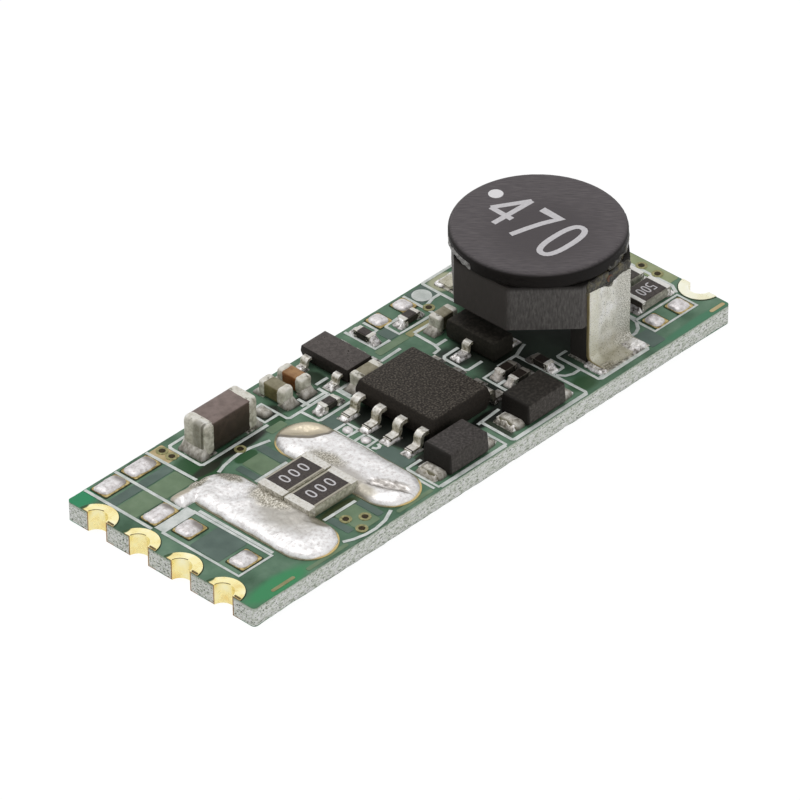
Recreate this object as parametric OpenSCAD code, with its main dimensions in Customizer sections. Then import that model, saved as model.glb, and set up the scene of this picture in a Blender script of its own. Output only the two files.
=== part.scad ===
// LED driver module: an open circuit board with castellated ends, a buck
// converter on its top face and a power inductor that stands on two legs.
// Millimetres. The origin is the centre of the board's underside, +X runs to
// the output end, +Y to the back long edge and +Z up.

/* [Board] */
// Thickness of the laminate
board_t = 1.0; // [0.8:0.1:1.6]
// Radius of the routed corners
corner_r = 0.2; // [0.1:0.05:0.5]
// Thickness of a copper land with its plating
land_t = 0.04; // [0.02:0.01:0.08]
// Diodes to the front edge
edge_front = 0.3; // [0.2:0.05:1]
// Regulator to the back edge
edge_back = 0.22; // [0.15:0.01:1]
// Sense resistor to the output edge
edge_out = 1.3; // [1.2:0.1:4]
// Bore of a via
via_d = 0.3; // [0.2:0.05:0.35]
// Diameter of a via's ring
via_ring_d = 0.56; // [0.5:0.02:0.7]
// Copper to a board edge
edge_gap = 0.2; // [0.15:0.05:0.5]

/* [Castellations] */
// Spacing of the input castellations
cast_pitch = 2.54; // [2.3:0.01:2.8]
// Bore of a castellation
cast_bore_d = 1.1; // [0.8:0.05:1.3]
// Outer diameter of its ring
cast_ring_d = 2.0; // [1.7:0.05:2.2]
// Thickness of the plated wall
cast_wall = 0.06; // [0.03:0.01:0.1]
// Input bores: centre line beyond the edge
cast_in_over = 0.07; // [0:0.01:0.35]
// Output bores: centre line beyond the edge
cast_out_over = 0.05; // [0:0.05:0.35]

/* [Solder pools] */
// Width of a pool
pool_w = 2.65; // [2.2:0.05:3.2]
// Length of a pool
pool_l = 7.63; // [6:0.01:9]
// Height of a pool's crown
pool_h = 0.3; // [0.15:0.05:0.45]
// Copper that shows round a pool
pool_rim = 0.08; // [0.03:0.01:0.2]
// Input edge to the first pool
pool_in = 3.63; // [3.4:0.01:6]
// Front edge to a pool
pool_front = 0.37; // [0.3:0.01:1]
// Length of the solder that runs from the first pool onto a bare land
tongue_l = 2.0; // [1.4:0.1:2]

/* [Zero-ohm links] */
// Length of a link
link_l = 3.1; // [2.6:0.05:3.6]
// Width of a link
link_w = 1.5; // [1.2:0.05:1.8]
// Thickness of a link
link_h = 0.55; // [0.4:0.05:0.8]
// Length of a plated end
link_band = 0.45; // [0.25:0.05:0.6]
// Room between the two links
link_gap = 0.09; // [0.05:0.01:0.4]
// How far a link reaches over a pool
link_lap = 0.3; // [0.2:0.05:0.5]
// Links off the pools' middle
link_off = -0.08; // [-0.8:0.02:0.8]

/* [Sense resistor] */
// Length of a sense resistor
sense_l = 1.95; // [1.6:0.05:2.2]
// Width of a sense resistor
sense_w = 1.26; // [1:0.02:1.4]
// Thickness of a sense resistor
sense_h = 0.5; // [0.35:0.05:0.7]
// Length of a plated end
sense_band = 0.28; // [0.2:0.02:0.5]

/* [Small chip resistors] */
// Length of a small chip
chip_l = 1.0; // [0.9:0.05:1.1]
// Width of a small chip
chip_w = 0.5; // [0.4:0.05:0.6]
// Thickness of a small chip
chip_h = 0.34; // [0.25:0.01:0.5]
// Length of a plated end
chip_band = 0.22; // [0.15:0.01:0.3]
// Thickness of the plating on every chip's ends
plate_t = 0.03; // [0.02:0.01:0.05]
// Margin of the glaze at a chip's long sides
glaze_edge = 0.05; // [0.02:0.01:0.1]
// Land and solder beyond the end of a small part
toe = 0.3; // [0.2:0.02:0.34]

/* [Capacitors] */
// Length of the input capacitor
bulk_l = 2.95; // [2.6:0.05:3.4]
// Width of the input capacitor
bulk_w = 1.45; // [1.2:0.05:1.8]
// Height of the input capacitor
bulk_h = 1.68; // [1:0.02:2]
// Length of its plated ends
bulk_band = 0.52; // [0.3:0.02:0.8]
// Corner radius of its ends
bulk_r = 0.16; // [0.08:0.02:0.25]
// Land and solder beyond its ends
bulk_toe = 0.46; // [0.3:0.02:0.5]
// Length of a small capacitor
cap_l = 1.55; // [1.3:0.05:1.7]
// Width of a small capacitor
cap_w = 0.75; // [0.6:0.05:0.85]
// Height of a small capacitor
cap_h = 0.82; // [0.5:0.02:1]
// Length of its plated ends
cap_band = 0.33; // [0.2:0.01:0.45]
// Corner radius of its ends
cap_r = 0.1; // [0.05:0.01:0.15]
// Length of the gate capacitor
gate_l = 1.3; // [1.1:0.05:1.5]
// Width of the gate capacitor
gate_w = 0.7; // [0.5:0.05:0.8]

/* [Controller] */
// Length of the moulded body
ic_l = 4.8; // [4.6:0.05:5.2]
// Width of the moulded body at its parting line
ic_w = 3.76; // [3.4:0.02:4.2]
// Thickness of the moulded body
ic_h = 1.25; // [1:0.05:1.6]
// Gap under the body
ic_lift = 0.06; // [0.02:0.02:0.2]
// Draft of the upper half, measured across
ic_draft = 0.3; // [0.1:0.02:0.4]
// Span over the lead tips
ic_span = 6.0; // [5.8:0.05:6.6]
// Spacing of the leads
ic_pitch = 1.27; // [1:0.01:1.3]
// Width of a lead
ic_lead_w = 0.42; // [0.3:0.02:0.5]
// Thickness of a lead
ic_lead_t = 0.2; // [0.12:0.02:0.24]

/* [Regulator] */
// Length of the moulded body
reg_l = 2.9; // [2.7:0.05:3.1]
// Width of the moulded body
reg_w = 1.6; // [1.4:0.05:1.8]
// Thickness of the moulded body
reg_h = 0.78; // [0.7:0.02:1.1]
// Span over the lead tips
reg_span = 2.8; // [2.6:0.05:3]
// Spacing of the leads
sot_pitch = 0.95; // [0.8:0.01:1]
// Width of a lead
sot_lead_w = 0.4; // [0.3:0.02:0.5]
// Thickness of a lead
sot_lead_t = 0.14; // [0.1:0.01:0.16]
// Gap under the small moulded bodies
sot_lift = 0.05; // [0.02:0.01:0.1]
// Draft of the small moulded bodies
sot_draft = 0.08; // [0.04:0.01:0.12]
// Land beyond the tip of a lead or tab
lead_toe = 0.22; // [0.1:0.02:0.3]
// Land beside a lead
lead_side = 0.08; // [0.04:0.01:0.12]

/* [Switch] */
// Length of the moulded body
sw_l = 2.95; // [2.7:0.05:3.1]
// Width of the moulded body
sw_w = 1.3; // [1.2:0.05:1.5]
// Thickness of the moulded body
sw_h = 0.95; // [0.8:0.05:1.2]
// Span over the lead tips
sw_span = 2.4; // [2.3:0.05:2.6]

/* [Diodes] */
// Length of a diode's body
dio_l = 2.53; // [2.3:0.01:2.8]
// Width of a diode's body
dio_w = 1.65; // [1.4:0.05:1.8]
// Height of a diode's body
dio_h = 1.06; // [0.8:0.02:1.2]
// Draft of a diode's sides
dio_draft = 0.13; // [0.05:0.01:0.2]
// How far a tab stands out
tab_out = 0.55; // [0.4:0.05:0.7]
// Width of a tab
tab_w = 1.1; // [0.8:0.05:1.3]
// Thickness of a tab
tab_t = 0.16; // [0.1:0.01:0.2]

/* [Inductor] */
// Diameter of the drum core's top flange
core_d = 8.04; // [7.4:0.02:8.4]
// Thickness of the top flange
flange_t = 0.86; // [0.6:0.02:1.2]
// Rounding of the flange's rim
rim_r = 0.25; // [0.1:0.05:0.28]
// Diameter of the drum core's post
post_d = 3.2; // [2.6:0.1:3.8]
// Thickness of the lower flange
foot_flange_t = 0.55; // [0.4:0.05:0.7]
// How far the core sits off the sleeve's centre along X
core_off_x = -0.17; // [-0.2:0.01:0.2]
// How far the core sits off the sleeve's centre along Y
core_off_y = -0.03; // [-0.2:0.01:0.2]
// Sleeve across its flats
sleeve_af = 7.9; // [7.6:0.05:8.4]
// Cut of the sleeve's corners, along each side
sleeve_cut = 2.38; // [2.1:0.02:2.5]
// Height of the sleeve's wall
sleeve_h = 2.28; // [1.9:0.02:2.8]
// Bore of the sleeve
sleeve_bore = 7.0; // [6.8:0.05:7.1]
// Glue line between the core's lower flange and the bore
glue_gap = 0.05; // [0.02:0.01:0.1]
// Room between the sleeve and the parts under it
under_gap = 0.96; // [0.3:0.02:1.6]
// Depth of a leg
leg_d = 0.95; // [0.6:0.05:1.3]
// Thickness of the winding's wire
wire_d = 0.36; // [0.2:0.02:0.4]
// Width of a strap terminal
strap_w = 2.75; // [2.2:0.05:2.9]
// Thickness of a strap terminal
strap_t = 0.12; // [0.08:0.01:0.2]
// Room between the winding's tails and the flange
strap_room = 0.18; // [0.1:0.02:0.6]
// Straps along X from the sleeve's centre
strap_off = 0.1; // [-0.1:0.05:0.1]
// How far a strap's foot runs out
foot_out = 0.95; // [0.7:0.05:1.1]
// Bend of a strap at its foot
foot_r = 0.4; // [0.2:0.05:0.6]
// Land round a strap's foot
foot_land = 0.14; // [0.1:0.02:0.25]

/* [Placing along the board] */
// Second pool to the controller's lead tips
gap_pool_ic = 1.0; // [0.9:0.05:2]
// Controller's lead tips to the switch's lead tip
gap_ic_sw = 0.95; // [0.8:0.05:2]
// Switch's lead tips to the strap terminals
gap_sw_strap = 1.03; // [0.95:0.01:2]
// Strap terminals to the sense resistors
gap_strap_sense = 1.77; // [1:0.01:3]
// Second pool to the first diode's tab
gap_pool_dio = 0.47; // [0.4:0.01:1]
// Between the tabs of the two diodes
gap_diodes = 1.36; // [1:0.02:2]
// Input capacitor from the middle of the links
bulk_off = 0.29; // [0:0.01:0.6]
// Second pool to the filter capacitor
gap_pool_cap = -0.26; // [-0.3:0.01:0.1]
// Between the filter and bypass capacitors
gap_caps = 0.4; // [0.3:0.02:0.6]
// Regulator from the middle of the controller
reg_off = -0.35; // [-0.4:0.01:0.2]
// Supply capacitor from the middle of the controller
supply_off = -0.37; // [-0.4:0.01:0.2]
// Regulator's lead tips to the small chip beside it
gap_reg_chip = 0.78; // [0.5:0.02:1]
// Second pool to the small chip beside the controller
gap_pool_chip = 0.7; // [0.5:0.02:0.9]
// Small chips before the middle of the switch
chip_off = 0.75; // [0.6:0.01:0.8]
// Gate capacitor before the middle of the switch
gate_off = 0.05; // [0:0.01:0.1]
// Turned small chip from the middle of the switch
side_chip_off = 0.75; // [0.7:0.01:0.9]

/* [Placing across the board] */
// Diode to the controller
gap_dio_ic = 0.35; // [0.2:0.05:0.8]
// Controller to the supply capacitor
gap_ic_cap = 0.27; // [0.15:0.01:0.6]
// Supply capacitor to the regulator
gap_cap_reg = 0.06; // [0.04:0.02:0.5]
// Solder pool to the input capacitor
gap_pool_bulk = 0.95; // [0.8:0.05:1.6]
// Diode to the first small chip behind it
gap_dio_chip = 0.8; // [0.6:0.05:1]
// Between the two small chips there
gap_chip_chip = 0.3; // [0.25:0.05:0.6]
// Small chip to the switch
gap_chip_sw = 0.55; // [0.25:0.05:0.8]
// Switch to the gate capacitor
gap_sw_gate = 0.35; // [0.25:0.05:0.6]
// Gate capacitor to the small chip behind it
gap_gate_chip = 0.85; // [0.5:0.05:1.2]
// That small chip to the bare lands behind it
gap_chip_land = 0.3; // [0.2:0.05:0.6]
// Controller's last lead to the small chip beside it
gap_lead_chip = 0.68; // [0.5:0.02:1]
// That small chip to the filter capacitor
gap_chip_cap = 1.15; // [0.8:0.05:1.4]
// Front edge to the bare lands at the output end
sense_front = 1.13; // [0.5:0.01:1.4]
// Those bare lands to the first sense resistor
gap_land_sense = 0.42; // [0.2:0.02:0.8]
// Between the two sense resistors
gap_senses = 0.34; // [0.2:0.02:0.6]

/* [Places of the vias] */
// Between the rings of the two vias at the back edge
via_gap = 0.03; // [0.02:0.01:0.08]
// Those vias past the middle of the first pool
via_back_off = 0.36; // [0.3:0.02:0.4]
// Single via past the middle of the links
via_link_off = 0.2; // [0.1:0.02:0.3]
// Pools to that single via's middle
gap_pool_via = 0.39; // [0.36:0.01:0.42]
// Vias in front of the links, either side of their middle
stitch_off = 0.35; // [0.3:0.01:0.4]
// Step across the board from one of those vias to the next
stitch_step = 0.48; // [0.46:0.01:0.52]
// Front ends of the pools to the middle one of those vias
stitch_front = 0.67; // [0.6:0.01:0.7]
// Via past the middle of the switch
via_sw_off = 0.57; // [0.56:0.01:0.62]
// First sense resistor to the vias at the output end
gap_sense_via = 0.28; // [0.2:0.02:0.4]
// Between the middles of those vias
via_out_step = 0.97; // [0.8:0.01:1.2]

/* [Bare lands] */
// Width of a large bare land, along the board
bare_w = 1.5; // [1.2:0.05:1.6]
// Length of a bare land, across the board
bare_l = 0.85; // [0.6:0.05:0.9]
// Width of a small bare land
bare_small_w = 0.78; // [0.6:0.02:0.9]
// Height of the solder on a bare land
bare_h = 0.1; // [0.05:0.01:0.2]
// Slope of that solder
bare_slope = 0.16; // [0.08:0.02:0.24]
// Between two bare lands
bare_gap = 0.33; // [0.25:0.01:0.6]
// First pool to the bare lands before it
gap_land_pool = 0.87; // [0.8:0.01:1.2]
// Land beside the first pool, past the pool's back end
bare_past = 0.08; // [0:0.02:0.1]
// How much narrower the two lands at the input edge are
bare_trim = 0.4; // [0.3:0.05:0.5]
// Those two lands off the middle of the large ones
bare_shift = 0.1; // [0.04:0.02:0.14]
// First of those two behind the board's middle
mid_land_off = 0.32; // [0.2:0.02:0.4]
// Second of those two in front of the board's middle
low_land_off = 2.9; // [2.7:0.05:3.1]
// Land behind the second pool, past the pool's middle
pool_land_off = 0.33; // [0.2:0.01:0.4]
// That land in front of the input capacitor's middle
bulk_land_off = 0.12; // [0:0.02:0.2]
// How much shorter or longer a trimmed land is
bare_cut = 0.1; // [0.04:0.02:0.14]
// First land behind the switch, before the switch's middle
sw_land_off = 1.72; // [1.6:0.02:1.8]
// Second land behind the switch, before the switch's middle
sw_land_near = 0.1; // [0:0.02:0.2]
// First land before the sense resistors' middle
sense_land_off = 1.02; // [0.9:0.02:1.1]
// Second land past the sense resistors' middle
sense_land_far = 0.55; // [0.5:0.01:0.6]
// Bare lands to the back edge
bare_back = 0.22; // [0.15:0.01:0.4]
// Diameter of a test dot
dot_d = 0.5; // [0.4:0.05:0.6]
// Between the two test dots
dot_step = 1.1; // [1:0.05:1.2]
// Test dots behind the middle of the controller
dot_off = 0.68; // [0.6:0.02:0.76]
// Second pool to the middle of the test dots
gap_pool_dot = 0.5; // [0.46:0.01:0.52]

/* [Hidden] */
$fn = 48;
fine_fn = 240; // facets of the wide solder crowns
over = 1; // overshoot of every cut
embed = 0.2; // leads inside a moulded body

// Heights above the board's top
seat = land_t;
under_h = seat + max(sot_lift + sw_h, cap_h);
sleeve_z = under_h + under_gap;
core_z = sleeve_z + sleeve_h;
strap_h = core_z - strap_room - wire_d - seat;
tail_z = seat + strap_h + wire_d / 2;
low_flange_r = sleeve_bore / 2 - glue_gap - max(abs(core_off_x), abs(core_off_y));
ic_part = ic_h / 2;
reg_part = reg_h / 2;
sw_part = sw_h / 2;

// Places along the board, from the input edge
pool_a = pool_in + pool_w / 2;
link_u = pool_in + pool_w + link_l / 2 - link_lap;
pool_b = link_u + link_l / 2 - link_lap + pool_w / 2;
pool_end = pool_b + pool_w / 2;
ic_u = pool_end + gap_pool_ic + ic_span / 2;
sw_u = ic_u + ic_span / 2 + gap_ic_sw + sw_span / 2;
strap_u = sw_u + sw_span / 2 + gap_sw_strap + strap_w / 2;
coil_u = strap_u - strap_off;
sense_u = strap_u + strap_w / 2 + gap_strap_sense + sense_l / 2;
board_l = max(sense_u + sense_l / 2, coil_u + sleeve_af / 2) + edge_out;
bulk_u = link_u + bulk_off;
filter_u = pool_end + gap_pool_cap + cap_w / 2;
bypass_u = filter_u + cap_w + gap_caps;
reg_u = ic_u + reg_off;
supply_u = ic_u + supply_off;
dio_a_u = pool_end + gap_pool_dio + tab_out + dio_l / 2;
dio_b_u = dio_a_u + dio_l + 2 * tab_out + gap_diodes;
gate_u = sw_u - gate_off;
bare_u = pool_in - gap_land_pool - bare_w / 2;

// Places across the board, from the front edge
pool_v = pool_front + pool_l / 2;
pool_back = pool_front + pool_l;
bulk_v = pool_back + gap_pool_bulk + bulk_w / 2;
dio_v = edge_front + dio_w / 2;
ic_v = edge_front + dio_w + gap_dio_ic + ic_l / 2;
supply_v = ic_v + ic_l / 2 + gap_ic_cap + cap_w / 2;
reg_v = supply_v + cap_w / 2 + gap_cap_reg + reg_l / 2;
chip_d_v = edge_front + dio_w + gap_dio_chip + chip_w / 2;
chip_c_v = chip_d_v + chip_w + gap_chip_chip;
sw_v = chip_c_v + chip_w / 2 + gap_chip_sw + sw_l / 2;
gate_v = sw_v + sw_l / 2 + gap_sw_gate + gate_w / 2;
chip_b_v = gate_v + gate_w / 2 + gap_gate_chip + chip_w / 2;
back_land_v = chip_b_v + chip_w / 2 + gap_chip_land + bare_l / 2;
chip_a_v = ic_v + 1.5 * ic_pitch + ic_lead_w / 2 + gap_lead_chip + chip_w / 2;
filter_v = chip_a_v + chip_w / 2 + gap_chip_cap + cap_l / 2;
strap_reach = sleeve_af / 2 + strap_t + foot_out + foot_land;
board_w = max(
    reg_v + reg_l / 2 + edge_back,
    bulk_v + bulk_w / 2 + edge_back,
    back_land_v + bare_l / 2 + edge_gap,
    filter_v + cap_l / 2 + toe + edge_gap,
    2 * (strap_reach + edge_gap),
    3 * cast_pitch + cast_ring_d + 2 * edge_gap);
coil_v = board_w / 2;
sense_land_v = sense_front + bare_l / 2;
sense_v = sense_land_v + bare_l / 2 + gap_land_sense + sense_w / 2;

// Two-ended chips: [u, v, turn, length, width, height, band, toe]
links = [for (s = [1, -1]) [link_u, pool_v + link_off + s * (link_w + link_gap) / 2, 0,
    link_l, link_w, link_h, link_band, 0]];
senses = [for (i = [0, 1]) [sense_u, sense_v + i * (sense_w + gap_senses), 0,
    sense_l, sense_w, sense_h, sense_band, toe]];
function small_chip(u, v, turn) = [u, v, turn, chip_l, chip_w, chip_h, chip_band, toe];
chips = [
    small_chip(pool_end + gap_pool_chip + chip_l / 2, chip_a_v, 0),
    small_chip(reg_u + reg_span / 2 + gap_reg_chip + chip_w / 2, chip_b_v + chip_l / 2, 90),
    small_chip(sw_u - chip_off, chip_b_v, 0),
    small_chip(sw_u - chip_off, chip_c_v, 0),
    small_chip(sw_u - chip_off, chip_d_v, 0),
    small_chip(sw_u + side_chip_off, chip_d_v, 90)];
bulk = [bulk_u, bulk_v, 0, bulk_l, bulk_w, bulk_h, bulk_band, bulk_toe];
function small_cap(u, v, turn) = [u, v, turn, cap_l, cap_w, cap_h, cap_band, toe];
filter = small_cap(filter_u, filter_v, 90);
bypass = small_cap(bypass_u, filter_v, 90);
supply = small_cap(supply_u, supply_v, 0);
gate = [gate_u, gate_v, 0, gate_l, gate_w, cap_h, cap_band, toe];
landed = concat(senses, chips, [bulk, filter, bypass, supply, gate]);

// Leads across the moulded bodies, from each body's middle
ic_leads = [for (i = [-1.5:1:1.5]) i * ic_pitch];
sot_two = [-sot_pitch, sot_pitch];
sot_three = [-sot_pitch, 0, sot_pitch];

// Castellations across the board, from its middle
cast_in = [for (i = [-1.5:1:1.5]) i * cast_pitch];
cast_out = [for (i = [-1.5, 1.5]) i * cast_pitch];

// Vias: behind the first pool, beside the links, beside the switch and at the output end
via_back = board_w - bare_back - via_ring_d / 2;
via_out_u = board_l - edge_gap - via_ring_d / 2;
via_out_v = sense_v + sense_w / 2 + gap_sense_via;
vias = concat(
    [for (i = [0, 1]) [pool_a + via_back_off, via_back - i * (via_ring_d + via_gap)]],
    [[link_u + via_link_off, pool_back + gap_pool_via]],
    [for (i = [-1, 0, 1]) [link_u + (i == 0 ? stitch_off : -stitch_off),
        pool_front + stitch_front + i * stitch_step]],
    [[sw_u + via_sw_off, chip_b_v]],
    [for (i = [0, 1]) [via_out_u, via_out_v + i * via_out_step]]);

// Bare lands with solder on them: [u, v, width, length]
bare = [
    [bare_u, board_w - bare_back - bare_l / 2, bare_w, bare_l],
    [bare_u + bare_w + bare_gap, board_w - bare_back - bare_l / 2, bare_w, bare_l],
    [bare_u, pool_back - bare_l / 2 + bare_past, bare_w, bare_l],
    [bare_u + bare_shift, board_w / 2 + mid_land_off, bare_w - bare_trim, bare_l + bare_cut],
    [bare_u + bare_shift, board_w / 2 - low_land_off, bare_w - bare_trim, bare_l],
    [pool_b + pool_land_off, bulk_v - bulk_land_off, bare_small_w, bare_l - bare_cut],
    [sw_u - sw_land_off, back_land_v, bare_small_w, bare_l],
    [sw_u - sw_land_near, back_land_v, bare_small_w, bare_l],
    [sense_u - sense_land_off, sense_land_v, bare_small_w, bare_l],
    [sense_u + sense_land_far, sense_land_v, bare_small_w + bare_cut, bare_l]];
dots = [for (s = [0.5, -0.5]) [pool_end + gap_pool_dot, ic_v + dot_off + s * dot_step]];

// Puts children at a place on the board's top face
module on_board(u, v, w = 0) {
    translate([u - board_l / 2, v - board_w / 2, board_t + w]) children();
}

// Puts children at a chip's place and turn, on its lands
module at_chip(c) {
    on_board(c[0], c[1], seat) rotate([0, 0, c[2]]) children();
}

// Runs children for both ends of a chip, with +X pointing outwards
module both_ends() {
    for (turn = [0, 180]) rotate([0, 0, turn]) children();
}

module rounded_rectangle(l, w, r) {
    square([l - 2 * r, w], center = true);
    square([l, w - 2 * r], center = true);
    for (x = [-1, 1], y = [-1, 1]) translate([x * (l / 2 - r), y * (w / 2 - r)]) circle(r);
}

module block(l, w, h) {
    translate([-l / 2, -w / 2, 0]) cube([l, w, h]);
}

// Block whose four sides lean in by inset over its height
module frustum(l, w, h, inset) {
    intersection() {
        rotate([90, 0, 0]) linear_extrude(w + 2 * over, center = true)
            polygon([[-l / 2, 0], [l / 2, 0], [l / 2 - inset, h], [inset - l / 2, h]]);
        rotate([90, 0, 90]) linear_extrude(l + 2 * over, center = true)
            polygon([[-w / 2, 0], [w / 2, 0], [w / 2 - inset, h], [inset - w / 2, h]]);
    }
}

// Moulded body: two drafted halves that meet at the parting line
module moulded(l, w, h, draft, part) {
    translate([0, 0, part]) frustum(l, w, h - part, draft);
    translate([0, 0, part]) mirror([0, 0, 1]) frustum(l, w, part, draft / 2);
}

module quarter_ring(r, t) {
    intersection() {
        difference() {
            circle(r + t);
            circle(r);
        }
        square(r + t);
    }
}

// Gull-wing lead along +X. The foot rests at z = 0 and the shank leaves the
// body at z = rise.
module gull_wing(reach, rise, t, w) {
    r = 0.6 * t;
    drop = reach * 0.3;
    rotate([90, 0, 0]) linear_extrude(w, center = true) {
        translate([-embed, rise]) square([embed + drop - r, t]);
        translate([drop - r, rise - r]) quarter_ring(r, t);
        translate([drop, r + t]) square([t, rise - 2 * r - t]);
        translate([drop + t + r, r + t]) rotate(180) quarter_ring(r, t);
        translate([drop + t + r, 0]) square([reach - drop - t - r, t]);
    }
}

// Leads along one side of a body, at the given places across it
module lead_row(half, reach, rise, t, w, places) {
    for (y = places) translate([half, y, 0]) gull_wing(reach, rise, t, w);
}

// Lands under a row of leads
module lead_lands(half, reach, w, places) {
    from = half + reach * 0.35;
    to = half + reach + lead_toe;
    for (y = places) translate([from, y - w / 2 - lead_side, 0])
        cube([to - from, w + 2 * lead_side, land_t]);
}

// Solder at the tips of a row of leads
module lead_toes(half, reach, t, w, places) {
    for (y = places) translate([half + reach, y, 0]) fillet(min(lead_toe, t), w);
}

// Concave fillet of solder against a face at x = 0, w wide
module fillet(run, w) {
    rotate([90, 0, 0]) linear_extrude(w, center = true) difference() {
        square(run);
        translate([run, run]) circle(run);
    }
}

// Ceramic of a chip resistor
module resistor_body(c) {
    at_chip(c) translate([0, 0, plate_t]) block(c[3] - 2 * plate_t, c[4], c[5] - 2 * plate_t);
}

// Glaze between the plated ends
module resistor_glaze(c) {
    at_chip(c) translate([0, 0, c[5] - plate_t])
        block(c[3] - 2 * c[6], c[4] - 2 * glaze_edge, plate_t);
}

// Plated ends that wrap the top, the end face and the underside
module resistor_ends(c) {
    at_chip(c) both_ends() difference() {
        translate([c[3] / 2 - c[6], -c[4] / 2, 0]) cube([c[6], c[4], c[5]]);
        translate([0, -c[4] / 2 - over, plate_t])
            cube([c[3] / 2 - plate_t, c[4] + 2 * over, c[5] - 2 * plate_t]);
    }
}

// Fired ceramic of a capacitor
module capacitor_body(c) {
    at_chip(c) translate([0, 0, plate_t])
        block(c[3] - 2 * plate_t, c[4] - 2 * plate_t, c[5] - 2 * plate_t);
}

// Dipped ends that wrap all five faces
module capacitor_ends(c, r) {
    at_chip(c) both_ends() difference() {
        translate([c[3] / 2 - c[6], 0, c[5] / 2]) rotate([90, 0, 90])
            linear_extrude(c[6]) rounded_rectangle(c[4], c[5], r);
        translate([0, 0, plate_t])
            block(c[3] - 2 * plate_t, c[4] - 2 * plate_t, c[5] - 2 * plate_t);
    }
}

// Crown of solder with round ends, along Y
module pool_dome() {
    r = (pow(pool_w / 2, 2) + pow(pool_h, 2)) / (2 * pool_h);
    straight = pool_l - pool_w;
    intersection() {
        translate([0, 0, pool_h - r]) union() {
            rotate([90, 0, 0]) cylinder(h = straight, r = r, center = true, $fn = fine_fn);
            for (s = [-1, 1]) translate([0, s * straight / 2, 0]) sphere(r, $fn = fine_fn);
        }
        block(pool_w + over, pool_l + over, pool_h + over);
    }
}

// Envelope of a link, cut from the solder that it sits in
module link_room() {
    for (c = links) at_chip(c) block(c[3], c[4], c[5]);
}

module pool_plan(grow) {
    w = pool_w + 2 * grow;
    rounded_rectangle(w, pool_l + 2 * grow, w / 2 - 0.001);
}

module castellation(edge_x, side) {
    intersection() {
        difference() {
            union() {
                cylinder(h = board_t, d = cast_bore_d + 2 * cast_wall);
                translate([0, 0, board_t]) cylinder(h = land_t, d = cast_ring_d);
                cylinder(h = land_t, d = cast_ring_d);
            }
            translate([0, 0, -over]) cylinder(h = board_t + 2 * over, d = cast_bore_d);
        }
        translate([edge_x + (side > 0 ? 0 : -cast_ring_d), -cast_ring_d, 0])
            cube([cast_ring_d, 2 * cast_ring_d, board_t + over]);
    }
}

// Room that a castellation's wall and lower ring take from the laminate
module castellation_room() {
    translate([0, 0, -over]) cylinder(h = board_t + 2 * over, d = cast_bore_d + 2 * cast_wall);
    translate([0, 0, -over]) cylinder(h = over + land_t, d = cast_ring_d);
}

module circuit_board() {
    color("seagreen") difference() {
        linear_extrude(board_t) rounded_rectangle(board_l, board_w, corner_r);
        for (y = cast_in) translate([-board_l / 2 - cast_in_over, y, 0]) castellation_room();
        for (y = cast_out) translate([board_l / 2 + cast_out_over, y, 0]) castellation_room();
        for (p = vias) translate([p[0] - board_l / 2, p[1] - board_w / 2, -over])
            cylinder(h = board_t + 2 * over, d = via_d + 2 * cast_wall);
    }
}

module via_barrels() {
    color("gold") for (p = vias) translate([p[0] - board_l / 2, p[1] - board_w / 2, 0])
        difference() {
            union() {
                cylinder(h = board_t, d = via_d + 2 * cast_wall);
                translate([0, 0, board_t]) cylinder(h = land_t, d = via_ring_d);
            }
            translate([0, 0, -over]) cylinder(h = board_t + 2 * over, d = via_d);
        }
}

module input_castellations() {
    color("gold") for (y = cast_in) translate([-board_l / 2 - cast_in_over, y, 0])
        castellation(cast_in_over, 1);
}

module output_castellations() {
    color("gold") for (y = cast_out) translate([board_l / 2 + cast_out_over, y, 0])
        castellation(-cast_out_over, -1);
}

module pool_lands() {
    color("khaki") for (u = [pool_a, pool_b]) on_board(u, pool_v)
        linear_extrude(land_t) pool_plan(pool_rim);
}

// Copper under the chips, the leads, the tabs and the straps
module component_lands() {
    color("silver") {
        for (c = landed) at_chip(c) translate([0, 0, -seat]) both_ends()
            translate([c[3] / 2 - c[6], -c[4] / 2, 0]) cube([c[6] + c[7], c[4], land_t]);
        on_board(ic_u, ic_v) both_ends()
            lead_lands(ic_w / 2, (ic_span - ic_w) / 2, ic_lead_w, ic_leads);
        on_board(reg_u, reg_v) {
            lead_lands(reg_w / 2, (reg_span - reg_w) / 2, sot_lead_w, sot_three);
            rotate([0, 0, 180])
                lead_lands(reg_w / 2, (reg_span - reg_w) / 2, sot_lead_w, sot_two);
        }
        on_board(sw_u, sw_v) {
            lead_lands(sw_w / 2, (sw_span - sw_w) / 2, sot_lead_w, sot_two);
            rotate([0, 0, 180]) lead_lands(sw_w / 2, (sw_span - sw_w) / 2, sot_lead_w, [0]);
        }
        for (u = [dio_a_u, dio_b_u]) on_board(u, dio_v) both_ends()
            translate([dio_l / 2 - tab_out, -tab_w / 2, 0])
                cube([2 * tab_out + lead_toe, tab_w, land_t]);
        for (s = [-1, 1]) on_board(strap_u, coil_v) strap_land(s);
    }
}

// Land under a leg and its strap, at the front or the back
module strap_land(s) {
    w = strap_w + 2 * foot_land;
    from = sleeve_af / 2 - leg_d;
    translate([-w / 2, s > 0 ? from : -strap_reach, 0])
        cube([w, strap_reach - from, land_t]);
}

module spare_lands() {
    color("gainsboro") {
        for (p = bare) on_board(p[0], p[1]) {
            block(p[2], p[3], land_t);
            translate([0, 0, land_t]) frustum(p[2], p[3], bare_h, bare_slope);
        }
        for (p = dots) on_board(p[0], p[1]) cylinder(h = land_t + bare_h / 2, d = dot_d);
    }
}

module input_solder_pool() {
    color("whitesmoke") difference() {
        union() {
            on_board(pool_a, pool_v, seat) pool_dome();
            on_board(pool_a - tongue_l / 2, pool_back - bare_l / 2, seat)
                frustum(tongue_l, bare_l, bare_h, bare_slope);
        }
        link_room();
    }
}

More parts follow.
